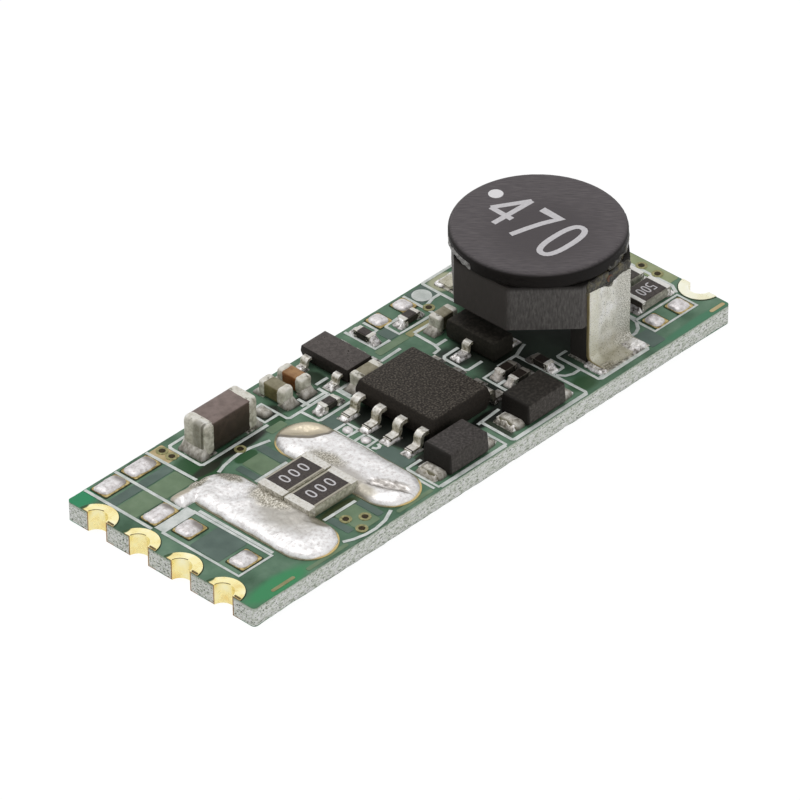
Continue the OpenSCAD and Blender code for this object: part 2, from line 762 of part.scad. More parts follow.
module output_solder_pool() {
    color("whitesmoke") difference() {
        on_board(pool_b, pool_v, seat) pool_dome();
        link_room();
    }
}

module solder_fillets() {
    color("lightgray") {
        for (c = landed) at_chip(c) both_ends()
            translate([c[3] / 2, 0, 0]) fillet(min(c[7], c[5]), c[4] - 2 * glaze_edge);
        on_board(ic_u, ic_v, seat) both_ends()
            lead_toes(ic_w / 2, (ic_span - ic_w) / 2, ic_lead_t, ic_lead_w, ic_leads);
        on_board(reg_u, reg_v, seat) {
            lead_toes(reg_w / 2, (reg_span - reg_w) / 2, sot_lead_t, sot_lead_w, sot_three);
            rotate([0, 0, 180])
                lead_toes(reg_w / 2, (reg_span - reg_w) / 2, sot_lead_t, sot_lead_w, sot_two);
        }
        on_board(sw_u, sw_v, seat) {
            lead_toes(sw_w / 2, (sw_span - sw_w) / 2, sot_lead_t, sot_lead_w, sot_two);
            rotate([0, 0, 180])
                lead_toes(sw_w / 2, (sw_span - sw_w) / 2, sot_lead_t, sot_lead_w, [0]);
        }
        for (u = [dio_a_u, dio_b_u]) on_board(u, dio_v, seat) both_ends()
            translate([dio_l / 2 + tab_out, 0, 0]) fillet(min(lead_toe, tab_t), tab_w);
        for (turn = [90, -90]) on_board(strap_u, coil_v, seat) rotate([0, 0, turn])
            translate([strap_reach - foot_land, 0, 0])
                fillet(min(foot_land, strap_t), strap_w);
    }
}

module back_link_body() { color("linen") resistor_body(links[0]); }
module back_link_glaze() { color("dimgray") resistor_glaze(links[0]); }
module back_link_ends() { color("gainsboro") resistor_ends(links[0]); }
module front_link_body() { color("linen") resistor_body(links[1]); }
module front_link_glaze() { color("dimgray") resistor_glaze(links[1]); }
module front_link_ends() { color("gainsboro") resistor_ends(links[1]); }
module sense_resistor_body() { color("linen") resistor_body(senses[0]); }
module sense_resistor_glaze() { color("dimgray") resistor_glaze(senses[0]); }
module sense_resistor_ends() { color("gainsboro") resistor_ends(senses[0]); }
module rear_sense_resistor_body() { color("linen") resistor_body(senses[1]); }
module rear_sense_resistor_glaze() { color("dimgray") resistor_glaze(senses[1]); }
module rear_sense_resistor_ends() { color("gainsboro") resistor_ends(senses[1]); }
module chip_resistor_bodies() { color("linen") for (c = chips) resistor_body(c); }
module chip_resistor_glazes() { color("dimgray") for (c = chips) resistor_glaze(c); }
module chip_resistor_ends() { color("gainsboro") for (c = chips) resistor_ends(c); }
module input_capacitor_body() { color("rosybrown") capacitor_body(bulk); }
module input_capacitor_ends() { color("gainsboro") capacitor_ends(bulk, bulk_r); }
module filter_capacitor_body() { color("darkkhaki") capacitor_body(filter); }
module filter_capacitor_ends() { color("gainsboro") capacitor_ends(filter, cap_r); }
module bypass_capacitor_body() { color("peru") capacitor_body(bypass); }
module bypass_capacitor_ends() { color("gainsboro") capacitor_ends(bypass, cap_r); }
module supply_capacitor_body() { color("tan") capacitor_body(supply); }
module supply_capacitor_ends() { color("gainsboro") capacitor_ends(supply, cap_r); }
module gate_capacitor_body() { color("tan") capacitor_body(gate); }
module gate_capacitor_ends() { color("gainsboro") capacitor_ends(gate, cap_r); }

module controller_leads() {
    color("silver") on_board(ic_u, ic_v, seat) both_ends()
        lead_row(ic_w / 2, (ic_span - ic_w) / 2, ic_lift + ic_part - ic_lead_t / 2,
            ic_lead_t, ic_lead_w, ic_leads);
}

module controller_body() {
    color("#2c2926") difference() {
        on_board(ic_u, ic_v, seat + ic_lift) moulded(ic_w, ic_l, ic_h, ic_draft, ic_part);
        controller_leads();
    }
}

module regulator_leads() {
    reach = (reg_span - reg_w) / 2;
    rise = sot_lift + reg_part - sot_lead_t / 2;
    color("silver") on_board(reg_u, reg_v, seat) {
        lead_row(reg_w / 2, reach, rise, sot_lead_t, sot_lead_w, sot_three);
        rotate([0, 0, 180]) lead_row(reg_w / 2, reach, rise, sot_lead_t, sot_lead_w, sot_two);
    }
}

module regulator_body() {
    color("#454143") difference() {
        on_board(reg_u, reg_v, seat + sot_lift) moulded(reg_w, reg_l, reg_h, sot_draft, reg_part);
        regulator_leads();
    }
}

module switch_leads() {
    reach = (sw_span - sw_w) / 2;
    rise = sot_lift + sw_part - sot_lead_t / 2;
    color("silver") on_board(sw_u, sw_v, seat) {
        lead_row(sw_w / 2, reach, rise, sot_lead_t, sot_lead_w, sot_two);
        rotate([0, 0, 180]) lead_row(sw_w / 2, reach, rise, sot_lead_t, sot_lead_w, [0]);
    }
}

module switch_body() {
    color("#2a2827") difference() {
        on_board(sw_u, sw_v, seat + sot_lift) moulded(sw_w, sw_l, sw_h, sot_draft, sw_part);
        switch_leads();
    }
}

module diode_tabs(u) {
    on_board(u, dio_v, seat) both_ends()
        translate([dio_l / 2 - tab_out, -tab_w / 2, 0]) cube([2 * tab_out, tab_w, tab_t]);
}

module diode_body(u) {
    difference() {
        on_board(u, dio_v, seat) frustum(dio_l, dio_w, dio_h, dio_draft);
        diode_tabs(u);
    }
}

module freewheel_diode_body() { color("#423f3f") diode_body(dio_a_u); }
module freewheel_diode_tabs() { color("silver") diode_tabs(dio_a_u); }
module clamp_diode_body() { color("#423f3f") diode_body(dio_b_u); }
module clamp_diode_tabs() { color("silver") diode_tabs(dio_b_u); }

// Half profile of a flange with a round rim, from z = 0 to t
module flange_profile(r, t, round) {
    square([r - round, t]);
    translate([0, round]) square([r, t - 2 * round]);
    for (z = [round, t - round]) translate([r - round, z]) circle(round);
}

module inductor_core() {
    color("#58545a") on_board(coil_u + core_off_x, coil_v + core_off_y, 0) {
        translate([0, 0, core_z]) rotate_extrude() flange_profile(core_d / 2, flange_t, rim_r);
        translate([0, 0, sleeve_z]) cylinder(h = sleeve_h, d = post_d);
        translate([0, 0, sleeve_z]) cylinder(h = foot_flange_t, r = low_flange_r);
    }
}

// Tails that lead from the winding to the top edges of the straps
module winding_tails() {
    for (s = [-1, 1]) on_board(strap_u, coil_v, tail_z) rotate([-90 * s, 0, 0])
        translate([0, 0, low_flange_r - wire_d]) cylinder(
            h = sleeve_af / 2 + strap_t - low_flange_r + wire_d, d = wire_d);
}

// Half section of the winding: a packed coil with round wire on its outside
module winding_profile(h) {
    turns = floor(h / wire_d);
    step = h / turns;
    outer = low_flange_r - glue_gap;
    translate([post_d / 2, 0]) square([outer - wire_d / 2 - post_d / 2, h]);
    for (i = [0:turns - 1]) translate([outer - wire_d / 2, (i + 0.5) * step]) circle(d = wire_d);
}

module inductor_winding() {
    coil_bottom = sleeve_z + foot_flange_t;
    color("sienna") {
        on_board(coil_u + core_off_x, coil_v + core_off_y, coil_bottom) rotate_extrude()
            winding_profile(core_z - coil_bottom);
        winding_tails();
    }
}

module octagon() {
    a = sleeve_af / 2;
    b = a - sleeve_cut;
    polygon([[-a, -b], [-b, -a], [b, -a], [a, -b], [a, b], [b, a], [-b, a], [-a, b]]);
}

module inductor_sleeve() {
    color("#373432") difference() {
        on_board(coil_u, coil_v, 0) {
            translate([0, 0, sleeve_z]) difference() {
                linear_extrude(sleeve_h) octagon();
                translate([0, 0, -over]) cylinder(h = sleeve_h + 2 * over, d = sleeve_bore);
            }
            for (y = [sleeve_af / 2 - leg_d, -sleeve_af / 2])
                translate([strap_off - strap_w / 2, y, seat])
                    cube([strap_w, leg_d, sleeve_z - seat]);
        }
        tail_notches();
    }
}

// Slots in the sleeve's rim for the winding's tails
module tail_notches() {
    notch_w = 2 * wire_d;
    for (s = [-1, 1]) on_board(strap_u - notch_w / 2, coil_v, tail_z - wire_d / 2)
        translate([0, s > 0 ? 0 : -sleeve_af, 0])
            cube([notch_w, sleeve_af, sleeve_h]);
}

// Strap that lies on the sleeve and its leg and bends out to a foot
module terminal(s) {
    face = sleeve_af / 2;
    on_board(strap_u, coil_v, seat) rotate([0, 0, s > 0 ? 180 : 0]) translate([0, -face, 0])
        rotate([90, 0, -90]) linear_extrude(strap_w, center = true) {
            translate([0, foot_r + strap_t]) square([strap_t, strap_h - foot_r - strap_t]);
            translate([foot_r + strap_t, foot_r + strap_t]) rotate(180)
                quarter_ring(foot_r, strap_t);
            translate([foot_r + strap_t, 0]) square([foot_out - foot_r, strap_t]);
        }
}

module inductor_front_terminal() { color("#c8c3b4") terminal(-1); }
module inductor_back_terminal() { color("#c8c3b4") terminal(1); }

circuit_board();
via_barrels();
input_castellations();
output_castellations();
pool_lands();
component_lands();
spare_lands();
input_solder_pool();
output_solder_pool();
solder_fillets();
back_link_body();
back_link_glaze();
back_link_ends();
front_link_body();
front_link_glaze();
front_link_ends();
sense_resistor_body();
sense_resistor_glaze();
sense_resistor_ends();
rear_sense_resistor_body();
rear_sense_resistor_glaze();
rear_sense_resistor_ends();
chip_resistor_bodies();
chip_resistor_glazes();
chip_resistor_ends();
input_capacitor_body();
input_capacitor_ends();
filter_capacitor_body();
filter_capacitor_ends();
bypass_capacitor_body();
bypass_capacitor_ends();
supply_capacitor_body();
supply_capacitor_ends();
gate_capacitor_body();
gate_capacitor_ends();
controller_body();
controller_leads();
regulator_body();
regulator_leads();
switch_body();
switch_leads();
freewheel_diode_body();
freewheel_diode_tabs();
clamp_diode_body();
clamp_diode_tabs();
inductor_core();
inductor_winding();
inductor_sleeve();
inductor_front_terminal();
inductor_back_terminal();
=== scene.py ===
import math

import bmesh
import bpy
from mathutils import Matrix, Vector, noise


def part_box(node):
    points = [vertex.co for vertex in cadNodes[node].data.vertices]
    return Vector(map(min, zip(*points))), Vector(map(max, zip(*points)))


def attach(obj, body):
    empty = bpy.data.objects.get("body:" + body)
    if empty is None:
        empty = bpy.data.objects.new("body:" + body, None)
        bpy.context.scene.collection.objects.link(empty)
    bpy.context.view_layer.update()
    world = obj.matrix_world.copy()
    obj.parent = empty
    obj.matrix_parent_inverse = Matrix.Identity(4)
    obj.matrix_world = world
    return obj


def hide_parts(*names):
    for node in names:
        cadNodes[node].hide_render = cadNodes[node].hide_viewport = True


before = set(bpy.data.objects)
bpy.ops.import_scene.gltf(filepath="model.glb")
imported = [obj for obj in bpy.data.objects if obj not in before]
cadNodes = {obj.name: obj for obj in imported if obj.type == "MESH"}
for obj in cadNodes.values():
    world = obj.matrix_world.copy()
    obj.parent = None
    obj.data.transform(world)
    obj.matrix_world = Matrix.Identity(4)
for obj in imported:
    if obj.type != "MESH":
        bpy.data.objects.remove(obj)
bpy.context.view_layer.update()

# Sizes below are millimetres: x from the middle of the parts' layout, y from the board's
# centre line, z above the board's top face.
mm = 0.001  # in the frame's metres
boardThickness = 1.0
layoutMiddle = 0.09  # along the board from its centre
toRow = Matrix.Translation((layoutMiddle * mm, 0, boardThickness * mm)) @ Matrix.Scale(mm, 4)


def toLinear(colour):
    return tuple(((c / 255 + 0.055) / 1.055) ** 2.4 if c > 10 else c / 3294.6 for c in colour) + (1.0,)


def addNode(tree, kind, inputs=None, **settings):
    made = tree.nodes.new(kind)
    for key, value in settings.items():
        setattr(made, key, value)
    for key, value in (inputs or {}).items():
        if isinstance(value, bpy.types.NodeSocket):
            tree.links.new(value, made.inputs[key])
        else:
            made.inputs[key].default_value = value
    return made


def mathAt(tree, operation, *values):
    return addNode(tree, "ShaderNodeMath", dict(enumerate(values)), operation=operation).outputs["Value"]


def axisAt(tree, vector, axis):
    return addNode(tree, "ShaderNodeSeparateXYZ", {"Vector": vector}).outputs[axis]


def newMaterial(name):
    material = bpy.data.materials.new(name)
    material.use_nodes = True
    tree = material.node_tree
    return material, tree, tree.nodes["Principled BSDF"]


def objectPoint(tree):
    return addNode(tree, "ShaderNodeTexCoord").outputs["Object"]


# A noise whose features are about size mm across, drawn out by stretch along axes turned by turn.
def grainAt(tree, point, size, detail=4.0, stretch=(1, 1, 1), roughness=0.55, turn=0.0):
    mapped = addNode(
        tree,
        "ShaderNodeMapping",
        {"Vector": point, "Rotation": (0, 0, math.radians(turn)), "Scale": [size * s * mm for s in stretch]},
        vector_type="TEXTURE",
    )
    inputs = {"Vector": mapped.outputs["Vector"], "Scale": 1.0, "Detail": detail, "Roughness": roughness}
    return addNode(tree, "ShaderNodeTexNoise", inputs).outputs["Fac"]


def shadesAt(tree, factor, shades):
    ramp = addNode(tree, "ShaderNodeValToRGB", {"Fac": factor})
    stops = ramp.color_ramp.elements
    while len(stops) < len(shades):
        stops.new(0.5)
    for stop, (position, colour) in zip(stops, shades):
        stop.position = position
        stop.color = toLinear(colour)
    return ramp.outputs["Color"]


def rangeAt(tree, value, fromLow, fromHigh, low, high):
    return addNode(
        tree,
        "ShaderNodeMapRange",
        {"Value": value, "From Min": fromLow, "From Max": fromHigh, "To Min": low, "To Max": high},
        interpolation_type="SMOOTHSTEP",
    ).outputs["Result"]


def blendAt(tree, factor, first, second):
    mix = addNode(tree, "ShaderNodeMix", data_type="RGBA")
    tree.links.new(factor, mix.inputs[0])
    for socket, value in ((mix.inputs[6], first), (mix.inputs[7], second)):
        if isinstance(value, bpy.types.NodeSocket):
            tree.links.new(value, socket)
        else:
            socket.default_value = toLinear(value)
    return mix.outputs[2]


# A soft, slightly ragged spot: its middle, half sizes, fill (a colour, or shades over a fine
# grain), raggedness, softness, strength and turn.
def patchAt(tree, point, colour, x, y, halfX, halfY, fill, ragged, soft, strength=1.0, turn=0.0):
    spot = addNode(
        tree,
        "ShaderNodeMapping",
        {
            "Vector": point,
            "Location": ((x + layoutMiddle) * mm, y * mm, 0),
            "Rotation": (0, 0, math.radians(turn)),
            "Scale": (halfX * mm, halfY * mm, 1000),  # any height
        },
        vector_type="TEXTURE",
    ).outputs["Vector"]
    away = addNode(tree, "ShaderNodeVectorMath", {0: spot}, operation="LENGTH").outputs["Value"]
    edge = mathAt(tree, "MULTIPLY_ADD", grainAt(tree, point, size=0.5, detail=5.0), ragged, away)
    rim = 1 + 0.5 * ragged
    if isinstance(fill, dict):
        fine = grainAt(tree, point, fill["fine"], 3.0, fill.get("stretch", (1, 1, 1)))
        fill = shadesAt(tree, fine, fill["shades"])
    return blendAt(tree, rangeAt(tree, edge, rim - soft, rim + soft, strength, 0.0), colour, fill)


# One finish: shades over a grain, other shades on upright faces (painted light and shade by facing,
# in some finishes also the material's own darker sides), bare metal where a cut went through, specks
# (size, start, softness, colour, stretch), fades by height, patches, roughness over the grain and a bump
# (size, height).
def makeFinish(name, look):
    material, tree, shader = newMaterial(name)
    point = objectPoint(tree)
    stretch = look.get("stretch", (1, 1, 1))
    grain = grainAt(tree, point, look["grain"], look.get("detail", 3.0), stretch, turn=look.get("turn", 0.0))
    colour = shadesAt(tree, grain, look["shades"])
    # Upright faces take the side shades: painted light and shade by which way a face looks.
    if "sides" in look:
        lift = axisAt(tree, addNode(tree, "ShaderNodeNewGeometry").outputs["Normal"], "Z")
        upright, flat = look.get("sideRange", (0.25, 0.8))
        upward = rangeAt(tree, lift, upright, flat, 0.0, 1.0)
        colour = blendAt(tree, upward, shadesAt(tree, grain, look["sides"]), colour)
    if "cutAt" in look:
        out = mathAt(tree, "ABSOLUTE", axisAt(tree, point, "X"))
        bare = mathAt(tree, "GREATER_THAN", out, look["cutAt"] * mm)
        colour = blendAt(tree, bare, colour, shadesAt(tree, grain, look["cutShades"]))
    for size, start, soft, tint, *drawn in look.get("specks", ()):
        fine = grainAt(tree, point, size, 2.0, *drawn)
        colour = blendAt(tree, rangeAt(tree, fine, start, start + soft, 0.0, 1.0), colour, tint)
    for low, high, tint, strength in look.get("fades", ()):
        bottom, top = (boardThickness + low) * mm, (boardThickness + high) * mm
        shade = rangeAt(tree, axisAt(tree, point, "Z"), bottom, top, strength, 0.0)
        colour = blendAt(tree, shade, colour, tint)
    for patch in look.get("patches", ()):
        colour = patchAt(tree, point, colour, *patch)
    tree.links.new(colour, shader.inputs["Base Color"])
    tree.links.new(rangeAt(tree, grain, 0.3, 0.7, *look["roughness"]), shader.inputs["Roughness"])
    shader.inputs["Metallic"].default_value = look.get("metallic", 0.0)
    shader.inputs["Specular IOR Level"].default_value = look.get("specular", 0.5)
    size, height = look["bump"]
    relief = grainAt(tree, point, size, 4.0, look.get("bumpStretch", stretch))
    bump = addNode(tree, "ShaderNodeBump", {"Height": relief, "Strength": 1.0, "Distance": height * mm})
    tree.links.new(bump.outputs["Normal"], shader.inputs["Normal"])
    return material


# Camera: long lens on the input end's front corner
cameraLook = {
    "azimuth": -46.541, "elevation": 35.902, "roll": -0.341, "distance": 298.40, "lens": 305.1,
    "shift": (-0.00809, -0.00092),
}


def placeCamera(look):
    azimuth, elevation = math.radians(look["azimuth"]), math.radians(look["elevation"])
    level = math.cos(elevation)
    out = Vector((math.sin(azimuth) * level, -math.cos(azimuth) * level, math.sin(elevation)))
    data = bpy.data.cameras.new("camera")
    data.sensor_fit = "HORIZONTAL"
    data.sensor_width = 36.0
    data.lens = look["lens"]
    data.shift_x, data.shift_y = look["shift"]
    data.clip_start = 0.01
    data.clip_end = 20.0
    camera = bpy.data.objects.new("camera", data)
    bpy.context.scene.collection.objects.link(camera)
    turn = out.to_track_quat("Z", "Y").to_matrix().to_4x4()
    roll = Matrix.Rotation(math.radians(look["roll"]), 4, "Z")
    camera.matrix_world = Matrix.Translation(toRow @ (out * look["distance"])) @ turn @ roll
    bpy.context.scene.camera = camera


placeCamera(cameraLook)
print("camera placed")

# Studio: a white sweep, an even sky and one broad lamp overhead
studioLook = {
    "sky": 0.38, "lampPower": 1.36, "lampSize": 0.4, "lampFrom": (0.02, 0.18, 0.62), "fillPower": 0.46,
    "fillFrom": (-0.08, -0.65, 0.26), "shadow": 0.14, "white": 1.08,
}


def seenRay(tree):
    path = addNode(tree, "ShaderNodeLightPath").outputs
    either = mathAt(tree, "MAXIMUM", path["Is Camera Ray"], path["Is Glossy Ray"])
    return mathAt(tree, "MAXIMUM", either, path["Is Transmission Ray"])


def addLamp(name, spot, size, power):
    data = bpy.data.lights.new(name, "AREA")
    data.shape = "DISK"
    data.size = size
    data.energy = power
    lamp = bpy.data.objects.new(name, data)
    lamp.location = spot
    lamp.rotation_euler = Vector(spot).to_track_quat("Z", "Y").to_euler()
    bpy.context.scene.collection.objects.link(lamp)


def buildStudio(look):
    world = bpy.data.worlds.new("studio")
    bpy.context.scene.world = world
    world.use_nodes = True
    tree = world.node_tree
    sky = tree.nodes["Background"]
    inputs = {"Value": seenRay(tree), "To Min": look["sky"], "To Max": 1.0}
    tree.links.new(addNode(tree, "ShaderNodeMapRange", inputs).outputs["Result"], sky.inputs["Strength"])
    sky.inputs["Color"].default_value = (1, 1, 1, 1)
    addLamp("overhead", look["lampFrom"], look["lampSize"], look["lampPower"])
    addLamp("fill", look["fillFrom"], look["lampSize"], look["fillPower"])

    sheet = bmesh.new()
    bmesh.ops.create_grid(sheet, x_segments=8, y_segments=8, size=3.0)
    mesh = bpy.data.meshes.new("floor")
    sheet.to_mesh(mesh)
    sheet.free()
    floor = bpy.data.objects.new("floor", mesh)
    bpy.context.scene.collection.objects.link(floor)
    paper, tree, diffuse = newMaterial("whitePaper")
    diffuse.inputs["Base Color"].default_value = (0.95, 0.95, 0.95, 1)
    diffuse.inputs["Roughness"].default_value = 0.9
    glow = addNode(tree, "ShaderNodeEmission", {"Strength": look["white"]})
    share = mathAt(tree, "MULTIPLY", seenRay(tree), 1.0 - look["shadow"])
    inputs = {0: share, 1: diffuse.outputs[0], 2: glow.outputs[0]}
    mixed = addNode(tree, "ShaderNodeMixShader", inputs)
    tree.links.new(mixed.outputs[0], tree.nodes["Material Output"].inputs["Surface"])
    mesh.materials.append(paper)


buildStudio(studioLook)
bpy.context.scene.view_settings.view_transform = "Standard"
print("studio lit")


# Shades evenly spaced from low to as far short of one.
def tones(low, *colours):
    step = (1 - 2 * low) / (len(colours) - 1)
    return [(low + step * count, colour) for count, colour in enumerate(colours)]


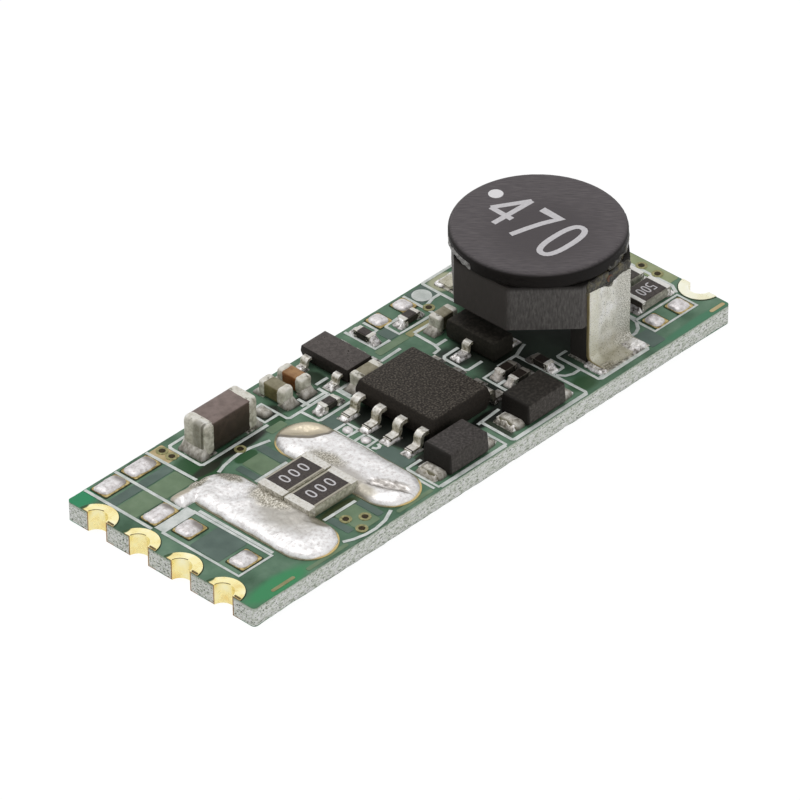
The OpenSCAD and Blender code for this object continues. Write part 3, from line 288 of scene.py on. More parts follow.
# Finishes, each with its own grain, and what those of a kind share
glazed = {"roughness": (0.35, 0.55), "specular": 0.2, "bump": (0.07, 0.006)}
fired = {"grain": 0.3, "roughness": (0.35, 0.5), "specular": 0.2, "bump": (0.08, 0.004)}
moulded = {"grain": 0.14, "roughness": (0.5, 0.7), "specular": 0.15, "bump": (0.1, 0.012)}
# Side shades here: painted light and shade by facing, in some also the material's own darker sides.
finishLooks = {
    "gold": {
        "grain": 0.7, "shades": tones(0.3, (246, 220, 144), (255, 242, 176), (255, 250, 210)),
        "cutAt": 15.286, "cutShades": tones(0.3, (112, 78, 42), (178, 138, 84)),
        "patches": [  # mask over the near end of each ring
            (-15.2, y + 1.02, 0.34, 0.2, (56, 84, 50), 0.3, 0.2)
            for y in (-3.81, -1.27, 1.27, 3.81)
        ],
        "roughness": (0.22, 0.36), "metallic": 0.65, "bump": (0.3, 0.004),
    },
    "paleGold": {
        "grain": 0.7, "shades": tones(0.3, (250, 245, 210), (254, 252, 226), (255, 254, 238)),
        "cutAt": 15.286, "cutShades": tones(0.3, (150, 126, 84), (206, 184, 136)), "roughness": (0.25, 0.4),
        "metallic": 0.5, "bump": (0.3, 0.004),
    },
    "dullGold": {
        "grain": 0.2, "shades": tones(0.3, (112, 92, 50), (178, 156, 98), (222, 204, 150)),
        "roughness": (0.35, 0.6), "metallic": 0.4, "specular": 0.3, "bump": (0.08, 0.006),
    },
    "viaRing": {
        "grain": 0.12, "shades": tones(0.3, (132, 130, 88), (160, 156, 108), (190, 184, 136)),
        "roughness": (0.4, 0.6), "metallic": 0.1, "specular": 0.3, "bump": (0.06, 0.006),
    },
    # Dark discs in the vias: painted shade of their open holes.
    "viaHoleShade": {
        "grain": 0.08, "shades": tones(0.35, (28, 23, 12), (74, 61, 34)), "roughness": (0.4, 0.7),
        "specular": 0.15, "bump": (0.05, 0.006),
    },
    "gapMask": {
        "grain": 0.15, "shades": tones(0.35, (30, 42, 26), (58, 74, 48)), "roughness": (0.4, 0.6),
        "specular": 0.2, "bump": (0.1, 0.006),
    },
    # Also drawn along the bores' far rims as painted shade.
    "burr": {
        "grain": 0.06, "shades": tones(0.35, (70, 58, 34), (104, 86, 50), (152, 128, 84)),
        "roughness": (0.35, 0.6), "metallic": 0.3, "specular": 0.3, "bump": (0.04, 0.01),
    },
    "tinnedLand": {
        "grain": 0.2, "shades": tones(0.36, (112, 110, 102), (186, 183, 174), (232, 229, 222)),
        "roughness": (0.3, 0.55), "metallic": 0.5, "specular": 0.3, "bump": (0.09, 0.008),
    },
    "poolRim": {
        "grain": 0.15, "shades": tones(0.3, (112, 108, 88), (158, 152, 126)),
        "patches": [  # bright where the plating shows
            (x, y, half, 0.6, (226, 200, 136), 0.4, 0.3)
            for x, y, half in ((-9.9, -5.0, 1.3), (-4.9, -5.0, 1.3), (-6.45, 1.5, 0.4))
        ],
        "roughness": (0.4, 0.6), "specular": 0.25, "bump": (0.08, 0.006),
    },
    "pillow": {
        "grain": 0.16,
        "shades": [(0.34, (204, 198, 197)), (0.48, (230, 225, 225)), (0.64, (246, 243, 244))],
        "specks": [(0.06, 0.68, 0.1, (140, 132, 126))],
        "patches": [  # painted shade on their ends towards the output, which slope from the light
            (x, y, 0.28, 0.42, (150, 143, 139), 0.9, 0.5)
            for x, y in ((-10.9, 5.0), (-12.78, 5.0), (-12.78, 2.0), (-12.85, 0.1), (-12.75, -2.9))
        ],
        "roughness": (0.3, 0.5), "metallic": 0.3, "specular": 0.3, "bump": (0.1, 0.012),
    },
    "solder": {
        "grain": 0.2, "shades": [(0.36, (132, 128, 123)), (0.48, (214, 210, 208)), (0.62, (248, 246, 246))],
        "specks": [(0.09, 0.64, 0.08, (84, 78, 72))],
        # Patches: painted shade under the inductor (lighter on the chips by the clamp diode) and on the
        # controller's far joints; paler on the strap's right joint; darker, olive at the diodes' near tabs.
        "patches": [
            (5.15, -2.2, 0.5, 1.3, (72, 66, 58), 0.2, 0.3, 0.85),
            (5.95, -1.95, 0.5, 0.4, (72, 66, 58), 0.2, 0.3, 0.85),
            (2.75, -0.95, 0.62, 2.6, (58, 52, 44), 0.1, 0.1, 0.75),
            (3.75, -2.2, 0.45, 1.0, (150, 142, 130), 0.6, 0.4, 0.65),
            (9.9, -4.68, 0.4, 0.36, (255, 253, 250), 0.3, 0.3, 0.8),
            (-3.62, -4.45, 0.26, 0.7, (116, 110, 90), 0.7, 0.4, 0.75),
            (1.3, -4.45, 0.3, 0.7, (124, 118, 100), 0.7, 0.4, 0.7),
        ],
        "roughness": (0.25, 0.45), "metallic": 0.5, "specular": 0.3, "bump": (0.12, 0.025),
    },
    "capSolder": {
        "grain": 0.2, "stretch": (1.0, 1.0, 2.5),
        "shades": tones(0.34, (150, 145, 134), (206, 201, 191), (238, 235, 228)),
        "specks": [(0.07, 0.68, 0.08, (92, 86, 74))], "fades": [(0.03, 0.34, (72, 67, 54), 0.7)],
        "patches": [  # darker, olive round the diodes' near tabs
            (x, -4.5, 0.16, 0.9, (104, 99, 76), 0.7, 0.4)
            for x in (-3.56, 1.44)
        ],
        "roughness": (0.3, 0.5), "metallic": 0.1, "specular": 0.3, "bump": (0.12, 0.012),
    },
    "linkCeramic": {
        "grain": 0.16, "shades": tones(0.36, (142, 137, 122), (182, 177, 162)),
        "sides": tones(0.36, (178, 175, 154), (206, 202, 183), (228, 224, 208)),
        "fades": [(0.05, 0.38, (104, 106, 74), 0.75)], "roughness": (0.5, 0.75), "specular": 0.25,
        "bump": (0.05, 0.006),
    },
    "senseCeramic": {
        "grain": 0.16, "shades": tones(0.36, (136, 132, 122), (170, 166, 155)),
        "sides": tones(0.36, (138, 136, 126), (164, 162, 150), (190, 188, 176)), "roughness": (0.5, 0.75),
        "specular": 0.2, "bump": (0.05, 0.006),
    },
    "chipCeramic": {
        "grain": 0.12, "shades": tones(0.36, (70, 66, 60), (104, 99, 90)),
        "sides": tones(0.36, (40, 37, 32), (66, 62, 54)), "roughness": (0.5, 0.75), "specular": 0.15,
        "bump": (0.05, 0.006),
    },
    "glaze": {
        **glazed, "grain": 0.14, "shades": tones(0.36, (58, 50, 48), (70, 63, 60), (84, 77, 73)),
        # painted shade under the inductor
        "patches": [(5.0, -2.4, 1.5, 1.1, (42, 35, 30), 0.1, 0.2)],
    },
    "linkGlaze": {
        **glazed, "grain": 0.12, "shades": tones(0.36, (60, 52, 50), (70, 63, 60), (82, 75, 71)),
        "patches": [
            (-7.85, y, 5.0, 0.115, (196, 190, 174), 0.08, 0.1)
            for y in (-0.02, -1.48, -1.61, -3.07)
        ],
    },
    "chipPlate": {
        "grain": 0.12, "shades": tones(0.34, (224, 219, 208), (244, 240, 232), (253, 251, 246)),
        "sides": tones(0.36, (168, 162, 146), (204, 199, 185), (230, 226, 215)),
        "specks": [(0.07, 0.7, 0.08, (126, 117, 100))],
        "patches": [  # painted shade under the inductor; painted light on the sense resistors' end bands and painted shade on their near end faces
            (4.85, -2.3, 0.42, 1.2, (84, 78, 68), 0.2, 0.3, 0.85),
            (5.95, -2.2, 0.5, 0.4, (84, 78, 68), 0.2, 0.3, 0.85),
            (12.15, -1.8, 0.3, 4.0, (254, 252, 247), 0.1, 0.1),
            (13.8, -1.8, 0.3, 4.0, (254, 252, 247), 0.1, 0.1),
            (11.93, -1.8, 0.05, 4.0, (74, 68, 60), 0.1, 0.2),
        ],
        "roughness": (0.35, 0.6), "metallic": 0.05, "specular": 0.3, "bump": (0.07, 0.014),
    },
    "dipPlate": {
        "grain": 0.3, "shades": tones(0.34, (220, 215, 201), (240, 236, 225), (252, 250, 243)),
        "sides": tones(0.34, (174, 170, 153), (212, 208, 192), (238, 235, 222)),
        "specks": [
            (0.3, 0.57, 0.2, (118, 113, 96), (1, 1, 1.4)), (0.05, 0.69, 0.08, (104, 98, 82)),
        ],
        # Patches: painted shade in a crease low on the input capacitor's near end.
        "patches": [
            (-9.2, 3.82, 0.22, 0.24, (98, 94, 78), 0.7, 0.5, 0.55),
            (-9.18, 3.52, 0.2, 0.07, (92, 88, 72), 0.6, 0.4, 0.8),
        ],
        "roughness": (0.4, 0.65), "metallic": 0.05, "specular": 0.25, "bump": (0.12, 0.01),
    },
    "mauve": {
        **fired, "grain": 0.35, "shades": tones(0.36, (128, 113, 107), (147, 131, 125)),
        "sides": tones(0.36, (70, 58, 50), (86, 73, 63)), "fades": [(0.1, 1.5, (42, 38, 28), 0.82)],
    },
    "olive": {
        **fired, "shades": tones(0.36, (138, 131, 106), (160, 153, 128)),
        "sides": tones(0.36, (96, 88, 54), (126, 118, 80)),
    },
    "brown": {
        **fired, "shades": tones(0.36, (154, 114, 76), (182, 142, 100)),
        "sides": tones(0.36, (122, 76, 40), (152, 102, 60)),
    },
    "beige": {
        **fired, "shades": tones(0.36, (146, 139, 116), (172, 165, 143)),
        "sides": tones(0.36, (84, 78, 60), (112, 105, 84)),
    },
    "blackMould": {
        "grain": 0.09, "detail": 2.0, "shades": tones(0.34, (30, 26, 22), (60, 55, 50), (100, 94, 86)),
        "sides": tones(0.36, (36, 32, 28), (52, 47, 42)), "sideRange": (0.5, 0.95),
        "roughness": (0.5, 0.75), "specular": 0.12, "bump": (0.09, 0.02),
    },
    "slateMould": {
        **moulded, "grain": 0.15, "shades": tones(0.36, (78, 72, 70), (91, 85, 82), (106, 100, 97)),
        "sides": tones(0.36, (36, 32, 29), (52, 47, 43)), "sideRange": (0.5, 0.95),
        "specks": [(0.15, 0.66, 0.04, (32, 28, 26))],
    },
    "greyMould": {
        **moulded, "shades": tones(0.36, (54, 50, 48), (69, 65, 63), (88, 83, 81)),
        "sides": tones(0.36, (60, 56, 53), (72, 68, 65), (88, 84, 80)),
        # the near end face: painted shade
        "patches": [(-2.93, -4.5, 0.16, 1.6, (34, 31, 28), 0.1, 0.2)],
    },
    "darkMould": {
        **moulded, "specular": 0.12, "shades": tones(0.36, (34, 31, 28), (45, 42, 38), (62, 58, 54)),
        "sides": tones(0.36, (58, 54, 50), (74, 70, 66), (90, 86, 82)),
        "specks": [(0.16, 0.7, 0.06, (84, 79, 74))],
        # the near end face: painted shade
        "patches": [(2.06, -4.5, 0.16, 1.6, (32, 29, 26), 0.1, 0.2)],
    },
    # The switch's grey moulding drawn dark all over: painted shade under the inductor.
    "shadeMould": {
        **moulded, "specular": 0.1, "shades": tones(0.36, (42, 39, 35), (52, 49, 44), (66, 62, 56)),
        "sides": tones(0.36, (38, 36, 31), (52, 49, 43)),
    },
    "leadTin": {
        "grain": 0.18, "shades": tones(0.34, (206, 200, 188), (236, 232, 224), (251, 249, 244)),
        "sides": tones(0.36, (144, 136, 111), (192, 186, 166), (228, 223, 209)),
        "patches": [  # cut ends of the controller's near feet, and its far leads in shade
            (-2.87, -0.95, 0.04, 4.0, (62, 56, 46), 0.1, 0.2),
            (2.6, -0.95, 0.62, 2.6, (60, 54, 46), 0.1, 0.1, 0.7),
        ],
        "roughness": (0.25, 0.45), "metallic": 0.2, "specular": 0.4, "bump": (0.1, 0.01),
    },
    "discFerrite": {
        "grain": 0.075, "stretch": (8.0, 1.0, 1.0), "turn": -50.0,
        "shades": tones(0.34, (90, 85, 87), (100, 95, 97), (112, 107, 108)),
        "patches": [  # darker towards the near side
            (8.2, -0.65, 2.35, 2.35, (86, 81, 83), 0.2, 0.4, 0.75),
        ],
        "sides": tones(0.36, (17, 14, 13), (29, 26, 24)), "sideRange": (0.3, 0.995),
        "roughness": (0.5, 0.7), "specular": 0.12, "bump": (0.07, 0.004), "bumpStretch": (4.0, 1.0, 1.0),
    },
    "sleeveFerrite": {
        "grain": 0.08, "stretch": (1.0, 1.0, 4.0),
        "shades": tones(0.32, (80, 77, 75), (95, 92, 90), (112, 109, 106)),
        "specks": [(0.09, 0.68, 0.08, (132, 128, 124))],
        # Painted shade: darker at the sleeve's foot and below it, in a band under the flange and on its left
        # facets.
        "fades": [(1.7, 2.05, (36, 33, 29), 0.8), (4.28, 4.02, (24, 21, 19), 0.9)],
        "patches": [(4.5, 0.1, 0.75, 1.95, (62, 57, 54), 0.1, 0.15, 0.8)],
        "roughness": (0.5, 0.75), "specular": 0.15, "bump": (0.08, 0.008),
    },
    "enamel": {
        "grain": 0.2, "stretch": (1.0, 1.0, 0.4), "shades": tones(0.3, (66, 38, 22), (104, 62, 36)),
        "roughness": (0.25, 0.4), "metallic": 0.6, "bump": (0.2, 0.02),
    },
    "strapTin": {
        "grain": 0.5, "stretch": (1.0, 1.0, 2.0),
        "shades": tones(0.34, (214, 211, 197), (243, 241, 231), (255, 254, 250)),
        "specks": [
            (0.06, 0.58, 0.1, (104, 100, 80)), (0.3, 0.6, 0.2, (176, 172, 148), (1, 1, 2.0)),
        ],
        "fades": [(0.2, 1.6, (166, 159, 126), 0.56)],
        "patches": [
            (9.75, -4.1, 0.55, 1.3, {
                "fine": 0.055, "shades": tones(0.38, (126, 122, 108), (212, 209, 197), (250, 249, 243)),
            }, 0.9, 0.5, 0.8),
            (7.8, -4.0, 0.3, 0.6, {
                "fine": 0.06, "shades": tones(0.38, (206, 202, 176), (252, 250, 230), (255, 255, 246)),
            }, 0.7, 0.5, 0.65),
            (7.75, -4.95, 0.4, 0.3, {
                "fine": 0.07, "shades": tones(0.38, (118, 112, 92), (168, 162, 144), (214, 209, 196)),
            }, 0.8, 0.4),
            (7.44, -4.1, 0.05, 1.1, (150, 137, 98), 0.6, 0.4),
        ],
        "roughness": (0.3, 0.5), "metallic": 0.15, "specular": 0.4, "bump": (0.07, 0.01),
    },
    "resin": {
        "grain": 0.3, "shades": [(0.38, (26, 23, 17)), (0.52, (58, 54, 41)), (0.68, (112, 105, 80))],
        "roughness": (0.2, 0.45), "specular": 0.4, "bump": (0.14, 0.05),
    },
    # A painted reflection: the flange's left edge catching the white surroundings at a grazing angle.
    "paintedRimGlint": {
        "grain": 0.12, "shades": tones(0.34, (96, 93, 91), (140, 138, 136), (186, 184, 182)),
        "roughness": (0.4, 0.6), "specular": 0.3, "bump": (0.08, 0.006),
    },
    "silk": {
        "grain": 0.4, "shades": tones(0.34, (210, 217, 212), (244, 248, 245)), "roughness": (0.55, 0.75),
        "specular": 0.3, "bump": (0.08, 0.006),
    },
    "print": {
        "grain": 0.14, "shades": tones(0.34, (214, 211, 214), (228, 225, 228)),
        "patches": [(8.94, 2.91, 0.5, 0.5, (250, 248, 250), 0.1, 0.05)],
        "roughness": (0.5, 0.7), "specular": 0.3, "bump": (0.06, 0.006),
    },
}
finishes = {name: makeFinish(name, look) for name, look in finishLooks.items()}
print("finishes mixed:", len(finishes))

# Board: mask on both faces, glass fibre at the cut edges
boardLook = {
    "mask": tones(0.3, (58, 94, 68), (92, 127, 102), (120, 151, 127)),
    "maskGrain": (1.6, 5.0),  # size, detail
    "fibre": [
        (0.34, (176, 184, 168)), (0.44, (224, 229, 218)), (0.54, (246, 248, 243)), (0.64, (255, 255, 254)),
    ],
    "strands": (0.09, 3.0, (2.4, 1.7, 0.9), 0.6),  # size, detail, stretch, roughness
    "pits": (0.085, 2.0, (1.2, 1.2, 1.0)), "pitRange": (0.58, 0.66, 0.0, 1.0), "pit": (60, 70, 50),
    "pitShare": (-0.0152, -0.015, 0.95, 0.75),  # more at the input end
    "ragged": 0.0003, "resinRange": (0.00094, 0.00118, 0.0, 0.75), "resin": (128, 154, 118),
    "maskDepth": 0.035, "specular": 0.25, "roughness": (0.8, 0.42), "relief": 0.03,
    # Patches: painted shadow and shade, deep greens to near-black, round, between and under the parts, the
    # inductor and the controller's leads; painted light in the bright greens along the edges, where light
    # comes through the laminate; a pale land by the back strap; an olive field before the front link.
    "patches": [
        (-14.9, 5.3, 0.9, 0.6, (44, 148, 100), 0.3, 0.4), (-13.6, -5.2, 1.9, 0.55, (62, 148, 96), 0.4, 0.4),
        (-9.95, 3.1, 1.0, 1.1, (46, 88, 52), 0.3, 0.2), (-7.85, 2.2, 0.62, 0.36, (50, 92, 56), 0.2, 0.1),
        (-5.0, 3.05, 0.55, 0.3, (44, 84, 50), 0.3, 0.15), (6.2, -4.9, 0.7, 0.5, (66, 98, 68), 0.3, 0.3),
        (8.4, -1.2, 2.9, 2.9, (34, 36, 31), 0.2, 0.3, 0.8),
        (-7.3, 2.96, 1.65, 0.34, (36, 39, 30), 0.4, 0.3), (1.5, -3.6, 1.4, 0.42, (28, 32, 27), 0.2, 0.25),
        (2.75, -2.4, 0.8, 1.6, (28, 32, 27), 0.3, 0.3), (3.7, 0.6, 0.7, 0.9, (40, 50, 42), 0.4, 0.4),
        (-4.9, 3.75, 0.7, 0.5, (46, 52, 43), 0.5, 0.3), (-3.2, 3.35, 1.2, 0.3, (44, 50, 42), 0.5, 0.3),
        (-1.6, 4.0, 0.45, 0.75, (46, 62, 46), 0.4, 0.3), (-2.7, -3.62, 0.6, 0.4, (36, 38, 32), 0.3, 0.3),
        (1.15, -4.5, 0.3, 0.8, (52, 62, 48), 0.4, 0.3), (-9.6, 2.78, 0.9, 0.28, (42, 48, 36), 0.4, 0.3),
        (7.75, 4.95, 0.8, 0.66, (186, 188, 158), 0.2, 0.2),
        (-7.9, -3.38, 1.3, 0.32, (64, 76, 46), 0.4, 0.3), (-2.1, -1.0, 0.94, 2.6, (25, 30, 25), 0.2, 0.2),
        (5.2, 0.2, 1.3, 1.5, (36, 42, 35), 0.3, 0.3), (4.8, -1.9, 1.5, 1.5, (36, 44, 36), 0.3, 0.4),
        (13.2, -5.45, 2.6, 0.24, (74, 132, 100), 0.3, 0.4),
    ],
}


def boardFinish(look):
    material, tree, shader = newMaterial("greenLaminate")
    point = objectPoint(tree)
    mask = shadesAt(tree, grainAt(tree, point, *look["maskGrain"]), look["mask"])
    for patch in look["patches"]:
        mask = patchAt(tree, point, mask, *patch)
    strands = grainAt(tree, point, *look["strands"])
    fibre = shadesAt(tree, strands, look["fibre"])
    pits = rangeAt(tree, grainAt(tree, point, *look["pits"]), *look["pitRange"])
    share = rangeAt(tree, axisAt(tree, point, "X"), *look["pitShare"])
    fibre = blendAt(tree, mathAt(tree, "MULTIPLY", pits, share), fibre, look["pit"])
    height = axisAt(tree, point, "Z")
    ragged = mathAt(tree, "MULTIPLY_ADD", strands, look["ragged"], height)
    fibre = blendAt(tree, rangeAt(tree, ragged, *look["resinRange"]), fibre, look["resin"])
    middle = 0.5 * boardThickness * mm
    off = mathAt(tree, "ABSOLUTE", mathAt(tree, "SUBTRACT", height, middle))
    skin = mathAt(tree, "GREATER_THAN", off, middle - look["maskDepth"] * mm)
    tree.links.new(blendAt(tree, skin, fibre, mask), shader.inputs["Base Color"])
    tree.links.new(rangeAt(tree, skin, 0.0, 1.0, *look["roughness"]), shader.inputs["Roughness"])
    shader.inputs["Specular IOR Level"].default_value = look["specular"]
    rough = mathAt(tree, "MULTIPLY_ADD", skin, -0.9, 1.0)
    inputs = {"Height": strands, "Strength": rough, "Distance": look["relief"] * mm}
    bump = addNode(tree, "ShaderNodeBump", inputs)
    tree.links.new(bump.outputs["Normal"], shader.inputs["Normal"])
    return material


# The finish of each CAD node, by the end of its name: the first that fits
nodeFinish = (
    ("circuit_board", "laminate"), ("via_barrels", "viaRing"), ("input_castellations", "gold"),
    ("output_castellations", "paleGold"), ("pool_lands", "poolRim"), ("component_lands", "tinnedLand"),
    ("spare_lands", "solder"), ("solder_pool", "solder"), ("solder_fillets", "solder"),
    ("input_capacitor_body", "mauve"), ("filter_capacitor_body", "olive"), ("bypass_capacitor_body", "brown"),
    ("capacitor_body", "beige"), ("controller_body", "blackMould"), ("diode_body", "greyMould"),
    ("regulator_body", "greyMould"), ("switch_body", "greyMould"), ("_leads", "leadTin"),
    ("_tabs", "leadTin"), ("_ends", "chipPlate"), ("link_glaze", "linkGlaze"), ("_glaze", "glaze"),
    ("_glazes", "glaze"), ("link_body", "linkCeramic"), ("sense_resistor_body", "senseCeramic"),
    ("inductor_core", "discFerrite"), ("inductor_sleeve", "sleeveFerrite"), ("inductor_winding", "enamel"),
    ("_terminal", "strapTin"),
    ("", "chipCeramic"),
)
finishes["laminate"] = boardFinish(boardLook)
for nodeName, cadNode in cadNodes.items():
    fits = next(finish for ending, finish in nodeFinish if nodeName.endswith(ending))
    cadNode.data.materials.clear()
    cadNode.data.materials.append(finishes[fits])
print("frame dressed:", len(cadNodes), "nodes")


# Places a finished bmesh in the row frame as a piece of its own.
def finishPiece(name, bm, finish, instead=(), sharp=42):
    bmesh.ops.recalc_face_normals(bm, faces=bm.faces[:])
    bmesh.ops.transform(bm, matrix=toRow, verts=bm.verts[:])
    for face in bm.faces:
        face.smooth = True
    for edge in bm.edges:
        if len(edge.link_faces) == 2 and edge.calc_face_angle(0.0) > math.radians(sharp):
            edge.smooth = False
    mesh = bpy.data.meshes.new(name)
    bm.to_mesh(mesh)
    bm.free()
    mesh.materials.append(finishes[finish])
    piece = bpy.data.objects.new(name, mesh)
    bpy.context.scene.collection.objects.link(piece)
    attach(piece, "root")
    if instead:
        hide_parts(*instead)


# Board: its long sides broken out of a panel, ragged in the wall and wavy along the bottom
boardEdgeLook = {
    "halfWidth": 5.65,
    "margin": 0.4,  # left straight at each end
    "strip": 0.1,  # of the faces along each side that follows the break
    "step": 0.17, "levels": (-0.8, -0.6, -0.4, -0.2), "bite": 0.05, "wave": 0.04,
    "topShare": 0.3,  # of the bite at the top edge
    "chips": (0.32, 0.3), "runs": (0.9, 0.5), "ripple": 0.55,  # sizes of the unevenness
}


def buildBoard(look):
    bm = bmesh.new()
    bm.from_mesh(cadNodes["circuit_board"].data)
    bmesh.ops.transform(bm, matrix=toRow.inverted(), verts=bm.verts[:])
    bmesh.ops.remove_doubles(bm, verts=bm.verts[:], dist=1e-4)
    half, strip, slack = look["halfWidth"], look["strip"], 1e-4
    left = min(v.co.x for v in bm.verts) + look["margin"]
    right = max(v.co.x for v in bm.verts) - look["margin"]
    (chipX, chipZ), (runX, runZ) = look["chips"], look["runs"]

    def cutAlong(faces, spot, direction):
        rims = dict.fromkeys(part for f in faces for part in (*f.edges, *f.verts))
        bmesh.ops.bisect_plane(bm, geom=[*faces, *rims], dist=1e-5, plane_co=spot, plane_no=direction)

    for side in (-1, 1):
        cutAlong(bm.faces[:], (0, side * (half - strip), 0), (0, 1, 0))
        for count in range(int((right - left) / look["step"]) + 1):
            near = [f for f in bm.faces if min(side * v.co.y for v in f.verts) > half - strip - slack]
            cutAlong(near, (left + count * look["step"], 0, 0), (1, 0, 0))
        for level in look["levels"]:
            wall = [f for f in bm.faces if min(side * v.co.y for v in f.verts) > half - slack]
            cutAlong(wall, (0, 0, level), (0, 0, 1))
        for v in bm.verts:
            if side * v.co.y < half - slack or not left - 0.01 < v.co.x < right + 0.01:
                continue
            x, z = v.co.x, v.co.z
            rough = 0.5 + 0.5 * noise.noise(Vector((x / chipX, z / chipZ, 3.0 * side)))
            rough += 0.5 * noise.noise(Vector((x / runX, z / runZ, 8.0 * side)))
            share = look["topShare"] if z > -0.01 else 1.0
            v.co.y -= side * look["bite"] * share * min(max(rough, 0.0), 1.2)
            if z < -boardThickness + 0.01:
                lift = 0.45 + 0.55 * noise.noise(Vector((x / look["ripple"], 1.0, 5.0 * side)))
                v.co.z += look["wave"] * min(max(lift, 0.0), 1.0)
    finishPiece("board", bm, "laminate", ("circuit_board",), sharp=35)


buildBoard(boardEdgeLook)
print("board broken out")


# Drawn lines as flattened round strokes, each path a list of points and whether it closes.
def addStrokes(bm, paths, width, low, high):
    curve = bpy.data.curves.new("stroke", "CURVE")
    curve.dimensions = "3D"
    curve.bevel_depth = width / 2
    curve.bevel_resolution = 1
    curve.use_fill_caps = True
    for points, closed in paths:
        spline = curve.splines.new("POLY")
        spline.points.add(len(points) - 1)
        for slot, (x, y) in zip(spline.points, points):
            slot.co = (x, y, 0, 1)
        spline.use_cyclic_u = closed
    carrier = bpy.data.objects.new("stroke", curve)
    bpy.context.scene.collection.objects.link(carrier)
    mesh = bpy.data.meshes.new_from_object(carrier.evaluated_get(bpy.context.evaluated_depsgraph_get()))
    old = set(bm.verts)
    bm.from_mesh(mesh)
    new = [v for v in bm.verts if v not in old]
    bmesh.ops.scale(bm, vec=(1, 1, (high - low) / width), verts=new)
    bmesh.ops.translate(bm, vec=(0, 0, (low + high) / 2), verts=new)
    bpy.data.objects.remove(carrier)
    bpy.data.curves.remove(curve)
    bpy.data.meshes.remove(mesh)
    return new


# A plain block between two corners, and its upright edges.
def addBlock(bm, low, high):
    verts = bmesh.ops.create_cube(bm, size=1.0)["verts"]
    bmesh.ops.scale(bm, vec=high - low, verts=verts)
    bmesh.ops.translate(bm, vec=(low + high) / 2, verts=verts)
    edges = dict.fromkeys(e for v in verts for e in v.link_edges)
    return [e for e in edges if abs(e.verts[0].co.z - e.verts[1].co.z) > 1e-6]


def roundEdges(bm, edges, offset):
    bmesh.ops.bevel(bm, geom=edges, offset=offset, segments=3, profile=0.5, affect="EDGES", material=-1)


# A flat plate with rounded corners.
def addPlate(bm, x0, x1, y0, y1, low, high, corner):
    roundEdges(bm, addBlock(bm, Vector((x0, y0, low)), Vector((x1, y1, high))), corner)


